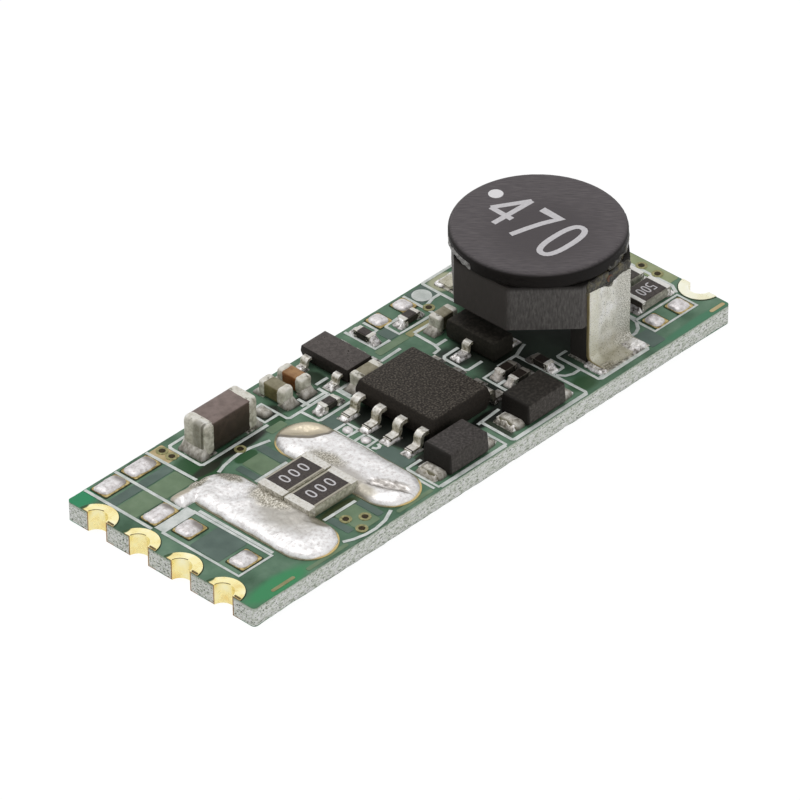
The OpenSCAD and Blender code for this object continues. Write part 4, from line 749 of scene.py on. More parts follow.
# Legend: the printed lines round the parts
legendLook = {
    "width": 0.17, "low": 0.002, "high": 0.032,
    "lines": [
        [(-14.35, 5.58), (-14.35, 1.5)], [(-12.52, 5.58), (-12.52, 1.6)], [(-10.62, 5.58), (-10.55, 2.55)],
        [(-14.22, 1.0), (-14.2, -3.58), (-12.2, -3.6), (-12.24, 1.1)], [(-12.05, 0.9), (-12.03, -3.5)],
        [(-8.9, 0.6), (-6.95, 0.6)], [(-8.9, -3.5), (-6.95, -3.52)],
        [(-9.5, 2.25), (-9.0, 2.42), (-8.4, 2.53), (-7.9, 2.57), (-7.3, 2.5), (-6.7, 2.36), (-6.3, 2.25)],
        [(-9.45, -5.15), (-9.0, -5.35), (-8.4, -5.5), (-7.8, -5.53), (-7.1, -5.42), (-6.4, -5.1)],
        [(-6.2, 5.18), (-9.55, 5.18), (-9.66, 5.05), (-9.66, 3.22), (-9.55, 3.12), (-5.55, 3.12)],
        [(-5.5, 4.3), (-5.5, 3.34), (-4.66, 3.34)],
        [(-5.3, 4.42), (-4.62, 4.42), (-4.62, 2.86), (-4.5, 2.76), (-2.02, 2.76)],
        [(-3.26, 2.8), (-3.26, 3.5)], [(-2.08, 2.76), (-2.08, 3.4)],
        [(-3.85, 2.7), (-3.8, 1.72), (-3.7, 1.66), (-1.75, 1.66), (-1.62, 1.78), (-1.6, 2.72)],
        [(-1.5, 2.62), (-1.5, 1.95)], [(-1.5, 2.66), (-0.85, 2.66)], [(-1.95, 3.66), (-1.2, 3.66)],
        [(-3.85, 0.7), (-3.08, 0.7), (-3.08, -0.05)], [(-3.86, 0.68), (-3.86, -0.02), (-3.1, -0.06)],
        [(-3.82, -0.48), (-3.1, -0.48), (-3.1, -1.16), (-3.82, -1.18)],
        [(-3.66, -1.38), (-3.58, -1.55), (-3.45, -1.6), (-3.33, -1.54), (-3.28, -1.38)],
        [(-3.92, 0.8), (-3.86, -1.3), (-3.96, -2.2)],
        [(-2.85, -3.55), (-3.7, -3.55), (-3.76, -3.65), (-3.76, -5.46), (0.5, -5.48), (0.5, -4.3)],
        [(2.2, -3.5), (0.72, -3.6)],
        [(0.96, -3.6), (0.94, -5.42), (1.0, -5.5), (5.7, -5.5), (5.76, -5.4), (5.7, -1.35)],
        [(4.55, -1.28), (5.75, -1.3), (6.2, -1.12), (6.6, -0.98)], [(1.82, 5.5), (1.82, 3.62), (2.75, 3.6)],
        [(2.92, 5.4), (2.92, 4.56), (2.4, 4.5)],
        [(4.55, 4.5), (3.45, 4.5), (3.38, 4.42), (3.38, 3.62), (5.5, 3.56)], [(5.62, 5.5), (5.62, 3.66)],
        [(5.7, 4.2), (6.4, 4.42), (6.85, 4.42)], [(1.3, 2.78), (2.6, 2.82)], [(3.88, 3.2), (5.0, 3.16)],
        [(3.86, 3.1), (3.84, 1.9), (3.72, 1.5), (3.3, 1.45)], [(3.9, 1.8), (4.5, 1.8)],
        [(4.4, 0.98), (3.5, 0.98), (3.36, 0.85), (3.34, -0.36), (3.46, -0.5), (4.35, -0.5)],
        [(4.5, -1.42), (3.48, -1.42), (3.46, -2.9)], [(3.5, -2.24), (4.0, -2.24)],
        [(5.76, -3.46), (6.42, -3.46), (6.5, -3.36), (6.5, -2.6)],
        [(5.82, -3.6), (6.05, -3.95), (6.4, -4.1), (6.85, -4.1)],
        [(7.5, -2.7), (6.94, -2.7), (6.88, -2.8), (6.88, -5.18), (7.0, -5.26), (10.05, -5.26), (10.12, -5.18),
         (10.12, -4.06), (10.6, -4.06), (10.95, -3.9), (11.28, -3.5), (11.34, -3.0)],
        [(6.93, 3.0), (6.93, 5.5), (7.0, 5.57), (10.4, 5.57), (10.47, 5.5), (10.47, 4.2)],
        [(11.3, -3.42), (11.3, -4.6), (14.1, -4.62), (14.1, -3.44), (11.3, -3.4)],
        [(14.49, -0.3), (14.49, -2.8), (14.2, -3.3)], [(11.42, -0.6), (11.42, -3.3)],
    ],
    "wide": [
        ([(-14.2, 1.2), (-12.2, 1.2)], 0.62), ([(-3.98, -2.3), (-3.98, -5.4)], 0.14),
        ([(6.98, -5.21), (10.06, -5.21)], 0.28), ([(-3.7, -5.5), (0.44, -5.52)], 0.22),
        ([(1.02, -5.52), (5.7, -5.52)], 0.22), ([(-3.55, 3.0), (-2.05, 2.97)], 0.16),
    ],
    "dot": (6.24, 4.93, 0.47),
}


def buildLegend(look):
    bm = bmesh.new()
    low, high = look["low"], look["high"]
    addStrokes(bm, [(line, False) for line in look["lines"]], look["width"], low, high)
    for line, width in look["wide"]:
        addStrokes(bm, [(line, False)], width, low, high - 0.006)
    x, y, radius = look["dot"]
    disc = bmesh.ops.create_circle(bm, cap_ends=True, segments=40, radius=radius)["verts"]
    faces = list(dict.fromkeys(f for v in disc for f in v.link_faces))
    top = bmesh.ops.extrude_face_region(bm, geom=faces)["geom"]
    upper = [v for v in top if isinstance(v, bmesh.types.BMVert)]
    bmesh.ops.translate(bm, vec=(0, 0, high), verts=upper)
    bmesh.ops.translate(bm, vec=(x, y, 0), verts=disc + upper)
    finishPiece("legend", bm, "silk")


buildLegend(legendLook)
print("legend printed")

# Disc print: a polarity dot and a plain inductance figure
discPrintLook = {
    "low": 5.134, "high": 5.146, "width": 0.285,
    "lift": 0.0015,  # each stroke lies this much over the one before
    "dot": (8.94, 2.91, 0.345),
    "four": [[(7.15, 1.42), (9.62, 1.34)], [(9.62, 1.34), (8.0, 2.34)], [(8.0, 2.34), (7.95, 1.02)]],
    "seven": [
        [(9.48, 0.56), (9.48, -0.62), (9.02, -0.36), (8.6, -0.18), (7.9, 0.04), (7.02, 0.26)],
        [(9.38, 0.56), (9.36, -0.5)],
    ],
    "zero": {"middle": (8.22, -1.74), "half": (1.33, 0.47)},
}


def ovalPath(middle, half, count=28, power=0.8):
    path = []
    for step in range(count):
        turn = 2 * math.pi * step / count
        c, s = math.cos(turn), math.sin(turn)
        x = middle[0] + half[0] * math.copysign(abs(c) ** power, c)
        y = middle[1] + half[1] * math.copysign(abs(s) ** power, s)
        path.append((x, y))
    return path


def buildDiscPrint(look):
    bm = bmesh.new()
    zero = ovalPath(look["zero"]["middle"], look["zero"]["half"])
    strokes = [(line, False) for line in look["four"] + look["seven"]] + [(zero, True)]
    for count, stroke in enumerate(strokes):
        addStrokes(bm, [stroke], look["width"], look["low"], look["high"] + count * look["lift"])
    x, y, radius = look["dot"]
    dot = bmesh.ops.create_uvsphere(bm, u_segments=28, v_segments=8, radius=radius)["verts"]
    bmesh.ops.scale(bm, vec=(1, 1, (look["high"] - look["low"]) / (2 * radius)), verts=dot)
    bmesh.ops.translate(bm, vec=(x, y, (look["low"] + look["high"]) / 2), verts=dot)
    finishPiece("discPrint", bm, "print")


buildDiscPrint(discPrintLook)

# Chip print: three noughts on each zero-ohm link, and a plain figure on each sense resistor
linkPrintLook = {
    "width": 0.085, "half": (0.135, 0.27), "xs": (-8.43, -7.85, -7.27), "ys": (-0.72, -2.31), "low": 0.588,
    "high": 0.6,
    "sense": {
        "width": 0.075, "ys": (-2.62, -1.02), "noughts": (12.56, 12.9), "half": (0.1, 0.26),
        "five": [(-0.11, 0.27), (0.1, 0.27), (0.1, 0.04), (-0.04, 0.04), (-0.11, -0.03), (-0.11, -0.2),
                 (-0.04, -0.27), (0.11, -0.27)],
        "fiveAt": 13.24, "low": 0.538, "high": 0.55,
    },
}


def buildLinkPrint(look):
    bm = bmesh.new()
    ovals = [(ovalPath((x, y), look["half"], 20), True) for x in look["xs"] for y in look["ys"]]
    addStrokes(bm, ovals, look["width"], look["low"], look["high"])
    part = look["sense"]
    for y in part["ys"]:
        figures = [(ovalPath((x, y), part["half"], 20), True) for x in part["noughts"]]
        figures.append(([(part["fiveAt"] + dx, y - dy) for dx, dy in part["five"]], False))
        addStrokes(bm, figures, part["width"], part["low"], part["high"])
    finishPiece("chipPrint", bm, "print")


buildLinkPrint(linkPrintLook)
print("figures printed")


# Pours one bmesh into another.
def addCopy(bm, other):
    mesh = bpy.data.meshes.new("copy")
    other.to_mesh(mesh)
    other.free()
    bm.from_mesh(mesh)
    bpy.data.meshes.remove(mesh)


def smoothStep(value):
    t = min(max(value, 0.0), 1.0)
    return t * t * (3 - 2 * t)


# How far a point lies inside a set of rounded rectangles (x0, x1, y0, y1, corner).
def insideBy(x, y, shapes):
    best = -9.0
    for x0, x1, y0, y1, corner in shapes:
        qx = abs(x - (x0 + x1) / 2) - (x1 - x0) / 2 + corner
        qy = abs(y - (y0 + y1) / 2) - (y1 - y0) / 2 + corner
        best = max(best, corner - math.hypot(max(qx, 0), max(qy, 0)) - min(max(qx, qy), 0))
    return best


# Solder lying on a land: a grid trimmed to a wavy outline, crowned, lumpy, drawn up any wall
# (axis, wall, side, low, high, height, run) that a part's end makes beside it, and sunk along
# any furrow (low, high, drop, width).
def addPuddle(bm, shapes, crown, roll, seed, base=0.042, foot=0.004, cell=0.055, wave=0.02, waveSize=0.45,
              lump=0.02, lumpSize=0.3, climbs=(), dips=()):
    x0, x1 = min(s[0] for s in shapes) - cell, max(s[1] for s in shapes) + cell
    y0, y1 = min(s[2] for s in shapes) - cell, max(s[3] for s in shapes) + cell

    def depthAt(x, y):
        return insideBy(x, y, shapes) + wave * noise.noise(Vector((x / waveSize, y / waveSize, seed)))

    pad = bmesh.new()
    columns, rows = (max(5, round(span / cell)) for span in (x1 - x0, y1 - y0))
    bmesh.ops.create_grid(pad, x_segments=columns, y_segments=rows, size=0.5)
    spread = max(v.co.x for v in pad.verts)
    bmesh.ops.scale(pad, vec=((x1 - x0) / 2 / spread, (y1 - y0) / 2 / spread, 1), verts=pad.verts[:])
    bmesh.ops.translate(pad, vec=((x0 + x1) / 2, (y0 + y1) / 2, 0), verts=pad.verts[:])
    outside = [f for f in pad.faces if max(depthAt(v.co.x, v.co.y) for v in f.verts) <= 0]
    bmesh.ops.delete(pad, geom=outside, context="FACES")
    step = 0.01
    fade = 0.12  # over which a climb ends at its flanks
    for v in pad.verts:
        x, y = v.co.x, v.co.y
        deep = depthAt(x, y)
        if deep < 0:  # drawn back onto the outline
            gx = (depthAt(x + step, y) - depthAt(x - step, y)) / (2 * step)
            gy = (depthAt(x, y + step) - depthAt(x, y - step)) / (2 * step)
            pull = deep / max(gx * gx + gy * gy, 0.3)
            v.co.x, v.co.y = x - pull * gx, y - pull * gy
            deep = 0.0
        t = min(deep / roll, 1.0)
        z = base + crown * math.sqrt(1 - (1 - t) ** 2)
        lumps = noise.noise(Vector((x / lumpSize, y / lumpSize, seed + 5.0)))
        lumps += 0.4 * noise.noise(Vector((x / lumpSize * 3, y / lumpSize * 3, seed + 9.0)))
        z += lump * t * lumps
        for axis, wall, side, low, high, height, run in climbs:
            away = max((wall - (x, y)[axis]) * side, 0.0)
            other = (y, x)[axis]
            flank = smoothStep(min(other - low, high - other) / fade + 0.5)
            z += height * math.exp(-away / run) * flank * smoothStep(t * 1.6)
        for low, high, drop, width in dips:
            along = Vector(high) - Vector(low)
            at = Vector((x, y)) - Vector(low)
            share = min(max(at.dot(along) / along.length_squared, 0.0), 1.0)
            off = (at - along * share).length
            z -= drop * smoothStep(1 - off / width) * t
        v.co.z = max(z, base)
    rim = [e for e in pad.edges if e.is_boundary]
    skirt = bmesh.ops.extrude_edge_only(pad, edges=rim)["geom"]
    for v in skirt:
        if isinstance(v, bmesh.types.BMVert):
            v.co.z = foot
    bmesh.ops.holes_fill(pad, edges=[e for e in pad.edges if e.is_boundary], sides=0)
    addCopy(bm, pad)


# A block with rounded edges, its cells crowded to the edges and its skin uneven.
def addLump(bm, low, high, radius, rough, seed, cuts=7, grainSize=0.1):
    lump = bmesh.new()
    bmesh.ops.create_cube(lump, size=1.0)
    bmesh.ops.subdivide_edges(lump, edges=lump.edges[:], cuts=cuts, use_grid_fill=True)
    for v in lump.verts:
        share = [0.5 - 0.5 * math.cos(math.pi * (c + 0.5)) for c in v.co]
        at = Vector([low[i] + share[i] * (high[i] - low[i]) for i in range(3)])
        core = Vector([min(max(at[i], low[i] + radius), high[i] - radius) for i in range(3)])
        out = (at - core).normalized()
        bumps = noise.noise(at / grainSize + Vector((seed, 0.3 * seed, 1.7)))
        v.co = core + out * (radius + rough * bumps)
    addCopy(bm, lump)


# A moulded body: drafted above its parting line, drawn in under it, with soft edges.
def addMoulding(bm, low, high, draft, under, parting, edge):
    body = bmesh.new()
    middle = (high + low) / 2
    bmesh.ops.subdivide_edges(body, edges=addBlock(body, low, high), cuts=1)
    for v in body.verts:
        above = v.co.z > middle[2] + 1e-6
        below = v.co.z < middle[2] - 1e-6
        inset = draft if above else under if below else 0.0
        v.co.x += -inset if v.co.x > middle[0] else inset
        v.co.y += -inset if v.co.y > middle[1] else inset
        if not above and not below:
            v.co.z = low[2] + parting
    roundEdges(body, body.edges[:], edge)
    addCopy(bm, body)


def nodeBox(nodeName):
    fromRow = toRow.inverted()
    return [fromRow @ Vector(corner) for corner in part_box(nodeName)]


# Masked copper: the pours that show as paler fields under the green
pourLook = {  # grain, size of its bump, shades, boxes
    "olive": (0.9, 0.25, ((102, 126, 96), (120, 144, 113), (138, 158, 131)), [
        (-14.28, -12.6, 2.55, 3.7), (-12.42, -10.7, 2.55, 3.7), (-8.38, -7.24, 0.7, 1.95),
        (-8.36, -7.14, -5.2, -3.62), (1.6, 3.5, 3.08, 3.5), (-11.9, -9.4, -5.5, -5.28),
        (-6.3, -4.1, -5.5, -5.28), (-5.9, -4.9, 2.5, 2.95),
    ]),
    "slate": (0.9, 0.25, ((82, 102, 94), (97, 117, 108), (113, 134, 124)), [
        (-14.08, -12.32, -2.25, -0.5), (-14.28, -12.6, 3.78, 4.3), (-12.42, -10.7, 3.78, 4.3),
        (-7.18, -6.68, 0.7, 2.3), (-7.08, -6.7, -5.0, -3.62), (-3.84, -2.98, 0.78, 1.56),
        (-3.84, -2.98, -3.4, -1.7), (10.3, 11.2, -5.35, -4.2), (2.74, 3.3, 3.6, 4.42),
        (-8.86, -8.46, 0.7, 1.9), (-8.86, -8.46, -4.9, -3.62), (5.75, 6.85, 4.45, 5.5),
    ]),
    "beige": (0.5, 0.2, ((134, 128, 86), (160, 156, 112), (186, 182, 142)), [
        (3.55, 5.1, 3.06, 3.46), (-14.0, -12.6, -5.42, -5.24),
    ]),
    "sand": (0.5, 0.2, ((190, 170, 122), (212, 192, 146), (228, 212, 172)), [
        (-10.58, -9.76, 4.32, 5.5), (14.12, 15.06, -5.5, -5.3),
    ]),
    "straw": (0.8, 0.2, ((140, 156, 112), (166, 176, 134), (190, 194, 158)), [(14.3, 15.16, -2.6, 0.9)]),
}


def buildPours(look):
    low, high, corner = 0.001, 0.014, 0.09
    for kind, (grain, size, colours, boxes) in look.items():
        mask = {
            "grain": grain, "shades": list(zip((0.25, 0.55, 0.85), colours)), "roughness": (0.35, 0.5),
            "specular": 0.25, "bump": (size, 0.006),
        }
        finishes[kind + "Mask"] = makeFinish(kind + "Mask", mask)
        bm = bmesh.new()
        for box in boxes:
            addPlate(bm, *box, low, high, corner)
        finishPiece(kind + "Pours", bm, kind + "Mask")


buildPours(pourLook)
print("pours laid")

# Vias: dark discs of painted shade where their holes are; and the cut edges of the castellations,
# with painted shade along each bore's far rim, and their burrs
holeLook = {
    "vias": [
        (-10.06, 5.15), (-10.06, 4.56), (-7.65, 2.74), (-8.2, -4.13), (-7.5, -4.61), (-8.2, -5.09),
        (5.77, 4.05), (14.72, -1.71), (14.72, -0.74),
    ],
    "holeShade": 0.155,
    "holeShadeFlow": {"crown": 0.012, "roll": 0.1, "lump": 0.004, "cell": 0.04},
    "input": {"centre": -15.45, "end": 15.36, "ys": (-3.81, -1.27, 1.27, 3.81), "side": 1, "burr": 0.045},
    "output": {"centre": 15.25, "end": 15.18, "ys": (-3.81, 3.81), "side": -1, "burr": 0.0},
    "bore": 0.575,
    "boreArc": (96, 168),  # only the far side of each bore gets an edge of painted shade
    "ring": 1.02,
}


def arcPath(centre, y, radius, start, end, side, count=24):
    path = []
    for step in range(count + 1):
        turn = math.radians(start + (end - start) * step / count)
        path.append((centre + side * radius * math.sin(turn), y - radius * math.cos(turn)))
    return path


def buildHoles(look):
    holeShades = bmesh.new()
    r = look["holeShade"]
    for count, (x, y) in enumerate(look["vias"]):
        addPuddle(holeShades, [(x - r, x + r, y - r, y + r, r)], seed=70.0 + count, **look["holeShadeFlow"])
    # the dark discs: painted shade of the open via holes
    finishPiece("viaHoleShades", holeShades, "viaHoleShade", sharp=60)
    arcs, gaps, burrs = bmesh.new(), bmesh.new(), bmesh.new()
    for end in (look["input"], look["output"]):
        centre, side, r = end["centre"], end["side"], end["burr"]
        reach = abs(centre) - end["end"]  # from a bore's middle to the board's end
        lean = math.degrees(math.asin(max(reach, 0.0) / look["ring"]))
        for count, y in enumerate(end["ys"]):
            ring = arcPath(centre, y, look["ring"], lean, 180 - lean, side)
            addStrokes(gaps, [(ring, False)], width=0.05, low=0.002, high=0.02)
            if not r:
                continue
            bore = arcPath(centre, y, look["bore"], *look["boreArc"], side)
            addStrokes(arcs, [(bore, False)], width=0.05, low=0.036, high=0.05)
            x = -side * (end["end"] - r - 0.01)
            at = y - 0.78
            low, high = (x - r, at - 4 * r, 0.0), (x + r, at + 4 * r, 0.04 + r)
            addLump(burrs, low, high, 0.8 * r, rough=0.006, seed=count, cuts=5, grainSize=0.07)
    # The bore edges take the burr finish but are painted shade.
    finishPiece("boreEdges", arcs, "burr")
    finishPiece("ringGaps", gaps, "gapMask")
    finishPiece("copperBurrs", burrs, "burr", sharp=75)


buildHoles(holeLook)
print("holes edged")

# Bare lands: a pillow of solder on each, with dull gold and a dark gap round it
spareLook = {
    "pillows": [
        (-14.12, -12.68, 4.58, 5.43), (-12.32, -10.79, 4.58, 5.43), (-14.12, -12.68, 1.6, 2.43),
        (-13.82, -12.72, -0.16, 0.8), (-13.82, -12.66, -3.38, -2.47), (3.09, 3.87, 4.6, 5.45),
        (4.71, 5.49, 4.6, 5.45), (11.51, 12.26, -4.5, -3.62), (13.03, 13.92, -4.5, -3.62),
    ],
    "rims": [  # piece, how far out on each side, top, finish, slot
        ("landRims", (0.02, 0.05, 0.08, 0.01), 0.04, "dullGold", "gold_plate"),
        ("landGaps", (0.08, 0.11, 0.14, 0.06), 0.016, "gapMask", "laminate"),
    ],
    "flow": {"crown": 0.15, "roll": 0.42, "lump": 0.03, "lumpSize": 0.36, "wave": 0.05},
    "corner": 0.28,
    "dots": [(-3.45, 0.28), (-3.45, -0.82)],
    "radius": 0.25,
    "dotFlow": {"crown": 0.11, "roll": 0.25, "base": 0.03, "cell": 0.04},
}


def buildSpareLands(look):
    for name, (left, right, front, back), high, finish, slotName in look["rims"]:
        rims = bmesh.new()
        for x0, x1, y0, y1 in look["pillows"]:
            addPlate(rims, x0 - left, x1 + right, y0 - front, y1 + back, 0.002, high, 0.1)
        finishPiece(name, rims, finish)
    bm = bmesh.new()
    for count, box in enumerate(look["pillows"]):
        addPuddle(bm, [(*box, look["corner"])], seed=3.1 * count, **look["flow"])
    r = look["radius"]
    for count, (x, y) in enumerate(look["dots"]):
        addPuddle(bm, [(x - r, x + r, y - r, y + r, r)], seed=50.0 + count, **look["dotFlow"])
    finishPiece("landSolder", bm, "pillow", ("spare_lands",), sharp=70)


buildSpareLands(spareLook)
print("bare lands tinned")

# Solder pools: long lumpy domes that run up the ends of the zero-ohm links
poolLook = {
    "both": {"crown": 0.27, "roll": 0.75, "cell": 0.07},
    "near": {
        "shapes": [(-11.75, -9.1, -5.28, 2.35, 1.32), (-12.43, -10.6, 1.5, 2.42, 0.16)], "seed": 2.0,
        "lump": 0.06, "lumpSize": 0.75, "wave": 0.07, "waveSize": 0.55,
        "climbs": [(0, -9.3, 1, -3.05, -0.05, 0.22, 0.3)],
        "dips": [
            ((-11.1, 2.2), (-10.4, 2.0), 0.12, 0.3), ((-9.6, 1.9), (-9.3, 0.7), 0.1, 0.3),
            ((-9.4, -3.4), (-9.2, -4.0), 0.12, 0.3),
        ],
    },
    "far": {
        "shapes": [(-6.6, -3.95, -5.28, 2.35, 1.32)], "seed": 7.4,
        "lump": 0.05, "lumpSize": 0.8, "wave": 0.05, "waveSize": 0.6,
        "climbs": [(0, -6.4, -1, -3.05, -0.05, 0.22, 0.3)],
        "dips": [((-5.5, 2.1), (-4.3, 0.9), 0.2, 0.6), ((-5.75, -3.4), (-5.15, -4.85), 0.13, 0.3)],
    },
}
poolGrit = {"fine": 0.075, "shades": tones(0.36, (112, 106, 92), (182, 176, 162), (232, 228, 218))}
# Streaky greys for the far pool's fold: painted shade and reflection.
poolFold = {
    "fine": 0.12, "stretch": (1.0, 3.0, 1.0),
    "shades": tones(0.34, (140, 134, 129), (186, 181, 176), (228, 224, 222)),
}
finishes["poolSolder"] = makeFinish(
    "poolSolder",
    {
        "grain": 0.16, "shades": [(0.3, (220, 215, 214)), (0.44, (241, 238, 237)), (0.6, (252, 251, 251))],
        "specks": [(0.055, 0.69, 0.05, (92, 86, 82))],
        # Patches: grit near the links' ends and a beige patch on the near pool's arm; grey painted shade,
        # partly grit, beside the links, in the dips, along the fold and in its crease; a beige lens in the
        # far pool's back dip, rimmed with painted shade.
        "patches": [
            (-9.9, -2.2, 1.1, 1.6, (172, 167, 156), 0.6, 0.5, 0.8),
            (-9.55, -0.95, 0.6, 1.15, poolGrit, 0.9, 0.4), (-9.55, 1.55, 0.45, 0.75, poolGrit, 1.0, 0.3),
            (-11.0, 2.2, 0.8, 0.25, poolGrit, 1.0, 0.3),
            (-11.85, 2.25, 0.6, 0.3, (190, 180, 162), 0.8, 0.3),
            (-5.85, -0.85, 0.45, 0.95, poolGrit, 1.1, 0.5),
            (-6.0, -2.4, 0.32, 0.9, (176, 170, 162), 0.9, 0.6, 0.75),
            (-9.25, -3.6, 0.3, 0.55, (150, 144, 130), 0.6, 0.4),
            (-6.35, -3.4, 0.35, 0.65, (188, 182, 169), 0.6, 0.5),
            (-4.83, 1.65, 1.4, 0.95, (134, 127, 116), 0.1, 0.03, 1.0, -46.5),
            (-4.68, 1.79, 1.32, 0.93, (204, 193, 171), 0.2, 0.1, 1.0, -46.5),
            (-5.42, -4.05, 1.0, 0.4, poolFold, 0.5, 0.2, 1.0, -62.0),
            (-5.58, -4.15, 1.05, 0.075, (118, 111, 104), 0.3, 0.4, 1.0, -65.0),
        ],
        "roughness": (0.28, 0.5), "metallic": 0.4, "specular": 0.3, "bump": (0.14, 0.016),
    },
)


def buildPools(look):
    for side, nodeName in (("near", "input_solder_pool"), ("far", "output_solder_pool")):
        bm = bmesh.new()
        addPuddle(bm, **look["both"], **look[side])
        finishPiece(side + "Pool", bm, "poolSolder", (nodeName,), sharp=70)


buildPools(poolLook)
print("pools flowed")

# Chips: box and the axis of its length
smallChips = [
    ((-3.25, -2.25, 1.84, 2.35), 0), ((1.88, 2.38, 4.05, 5.05), 1), ((3.95, 4.95, 3.8, 4.3), 0),
    ((3.95, 4.95, -2.1, -1.6), 0), ((3.95, 4.95, -2.9, -2.4), 0), ((5.7, 6.2, -3.15, -2.15), 1),
]
senseChips = [((11.95, 13.9, -3.25, -1.99), 0), ((11.95, 13.9, -1.65, -0.39), 0)]
linkChips = [((-9.4, -6.3, -1.5, 0.0), 0), ((-9.4, -6.3, -3.09, -1.59), 0)]

# Joints: solder drawn up the ends of chips, leads, tabs and straps
jointLook = {
    # box, axis of its length, reach of the land, climb
    "chips": [(*chip, 0.34, 0.24) for chip in smallChips] + [(*chip, 0.26, 0.14) for chip in senseChips],
    "caps": [
        ((-9.14, -5.99, 3.3, 4.75), 0, 0.36, 0.42), ((-4.21, -3.46, 3.49, 5.05), 1, 0.32, 0.22),
        ((-3.06, -2.31, 3.49, 5.05), 1, 0.32, 0.22), ((-1.09, 0.46, 1.72, 2.47), 0, 0.32, 0.2),
        ((4.5, 5.8, 2.25, 2.95), 0, 0.34, 0.22),
    ],
    "bump": (-5.34, -4.72, 3.53, 4.24),  # a lump of solder on a land that holds no part
    "leads": [  # foot box, side its toe points to
        *(
            (x0, x1, low, high, side)
            for x0, x1, side in ((-2.95, -2.3, -1), (2.4, 3.05, 1))
            for low, high in ((0.74, 1.17), (-0.53, -0.1), (-1.79, -1.38), (-3.06, -2.65))
        ),
        (0.72, 1.1, 2.83, 3.23, 1), (0.72, 1.1, 3.78, 4.18, 1), (0.72, 1.1, 4.73, 5.13, 1),
        (-1.7, -1.32, 4.73, 5.13, -1), (-1.7, -1.32, 2.83, 3.23, -1), (6.05, 6.4, -0.72, -0.33, 1),
        (6.05, 6.4, 1.18, 1.57, 1), (3.72, 4.36, 0.2, 0.66, -1),
    ],
    "tabs": [(-3.48, -2.9, -1), (-0.42, 0.15, 1), (1.51, 2.1, -1), (4.55, 5.14, 1)],
    "tabSpan": (-5.08, -3.98),
    "straps": [  # shape, crown
        ((7.08, 7.56, -5.1, -3.98, 0.15), 0.12), ((9.28, 10.22, -5.12, -4.22, 0.2), 0.17),
        ((7.24, 10.34, 4.6, 5.18, 0.15), 0.09),
    ],
    "bumpFlow": {"crown": 0.24, "roll": 0.34, "lump": 0.14, "wave": 0.08},
    "tabFlow": {"crown": 0.25, "roll": 0.4, "base": 0.05, "lump": 0.05, "lumpSize": 0.4, "wave": 0.06},
    "leadFlow": {"crown": 0.07, "roll": 0.16, "cell": 0.045, "lump": 0.03, "lumpSize": 0.22, "wave": 0.03},
    "toeFlow": {"crown": 0.08, "roll": 0.2, "lump": 0.05, "wave": 0.04},
    "strapFlow": {"roll": 0.2, "lump": 0.06, "wave": 0.09},
}
seedStep = 1.7  # from one joint to the next


# Solder at both ends of each chip in a list.
def addChipJoints(bm, chips, seed, lump=0.04):
    inward, flank, corner = 0.22, 0.04, 0.12
    for box, axis, reach, climb in chips:
        (x0, x1), (low, high) = (box[:2], box[2:]) if axis == 0 else (box[2:], box[:2])
        for side in (-1, 1):
            seed += seedStep
            wall = x0 if side < 0 else x1
            along = (wall - reach, wall + inward) if side < 0 else (wall - inward, wall + reach)
            across = (low - flank, high + flank)
            shape = (*along, *across, corner) if axis == 0 else (*across, *along, corner)
            climbs = [(axis, wall + 0.02 * side, -side, low, high, climb, 0.3 * reach + 0.05)]
            crown = 0.06 + 0.06 * climb
            addPuddle(bm, [shape], crown, roll=0.22, seed=seed, lump=lump, wave=0.05, climbs=climbs)


def buildJoints(look):
    bm = bmesh.new()
    addChipJoints(bm, look["caps"], 300.0, 0.025)
    addPuddle(bm, [(*look["bump"], 0.2)], seed=340.0, **look["bumpFlow"])
    y0, y1 = look["tabSpan"]
    for count, (x0, x1, side) in enumerate(look["tabs"]):
        shape = (x0 - 0.1, x1 + (0.1 if side < 0 else 0.14), y0 - 0.12, y1 + 0.04, 0.3)
        addPuddle(bm, [shape], seed=360.0 + 2.3 * count, **look["tabFlow"])
    finishPiece("capJoints", bm, "capSolder", sharp=70)
    bm = bmesh.new()
    seed = 100.0
    addChipJoints(bm, look["chips"], seed)
    for x0, x1, low, high, side in look["leads"]:
        seed += seedStep
        toe = x0 if side < 0 else x1
        shape = (min(x0, toe - 0.2), max(x1, toe + 0.2), low - 0.08, high + 0.08, 0.1)
        climbs = [(0, toe, -side, low, high, 0.08, 0.1)]
        addPuddle(bm, [shape], seed=seed, climbs=climbs, **look["leadFlow"])
    for x0, x1, side in look["tabs"]:
        seed += seedStep
        toe = x0 if side < 0 else x1
        shape = (min(x0, toe - 0.2), max(x1, toe + 0.2), y0 - 0.06, y1 + 0.06, 0.12)
        climbs = [(0, toe, -side, y0, y1, 0.1, 0.12)]
        addPuddle(bm, [shape], seed=seed, climbs=climbs, **look["toeFlow"])
    for shape, crown in look["straps"]:
        seed += seedStep
        addPuddle(bm, [shape], crown, seed=seed, **look["strapFlow"])
    finishPiece("joints", bm, "solder", ("solder_fillets",), sharp=70)


buildJoints(jointLook)
print("joints soldered")


# The corners of one end of a block, as long as band.
def endOf(low, high, axis, band, side):
    low, high = list(low), list(high)
    if side:
        low[axis] = high[axis] - band
    else:
        high[axis] = low[axis] + band
    return low, high


# Ceramic capacitors: soft-edged bodies in dipped, pitted ends
capacitorLook = {  # axis of its length, ceramic, band, round of its ends, edge of its body, swell
    "input_capacitor": (0, "mauve", 0.54, 0.25, 0.16, 0.18),
    "filter_capacitor": (1, "olive", 0.38, 0.18, 0.11, 0.0),
    "bypass_capacitor": (1, "brown", 0.38, 0.18, 0.11, 0.0),
    "supply_capacitor": (0, "beige", 0.36, 0.15, 0.09, 0.0),
    "gate_capacitor": (0, "beige", 0.34, 0.15, 0.09, 0.0),
}


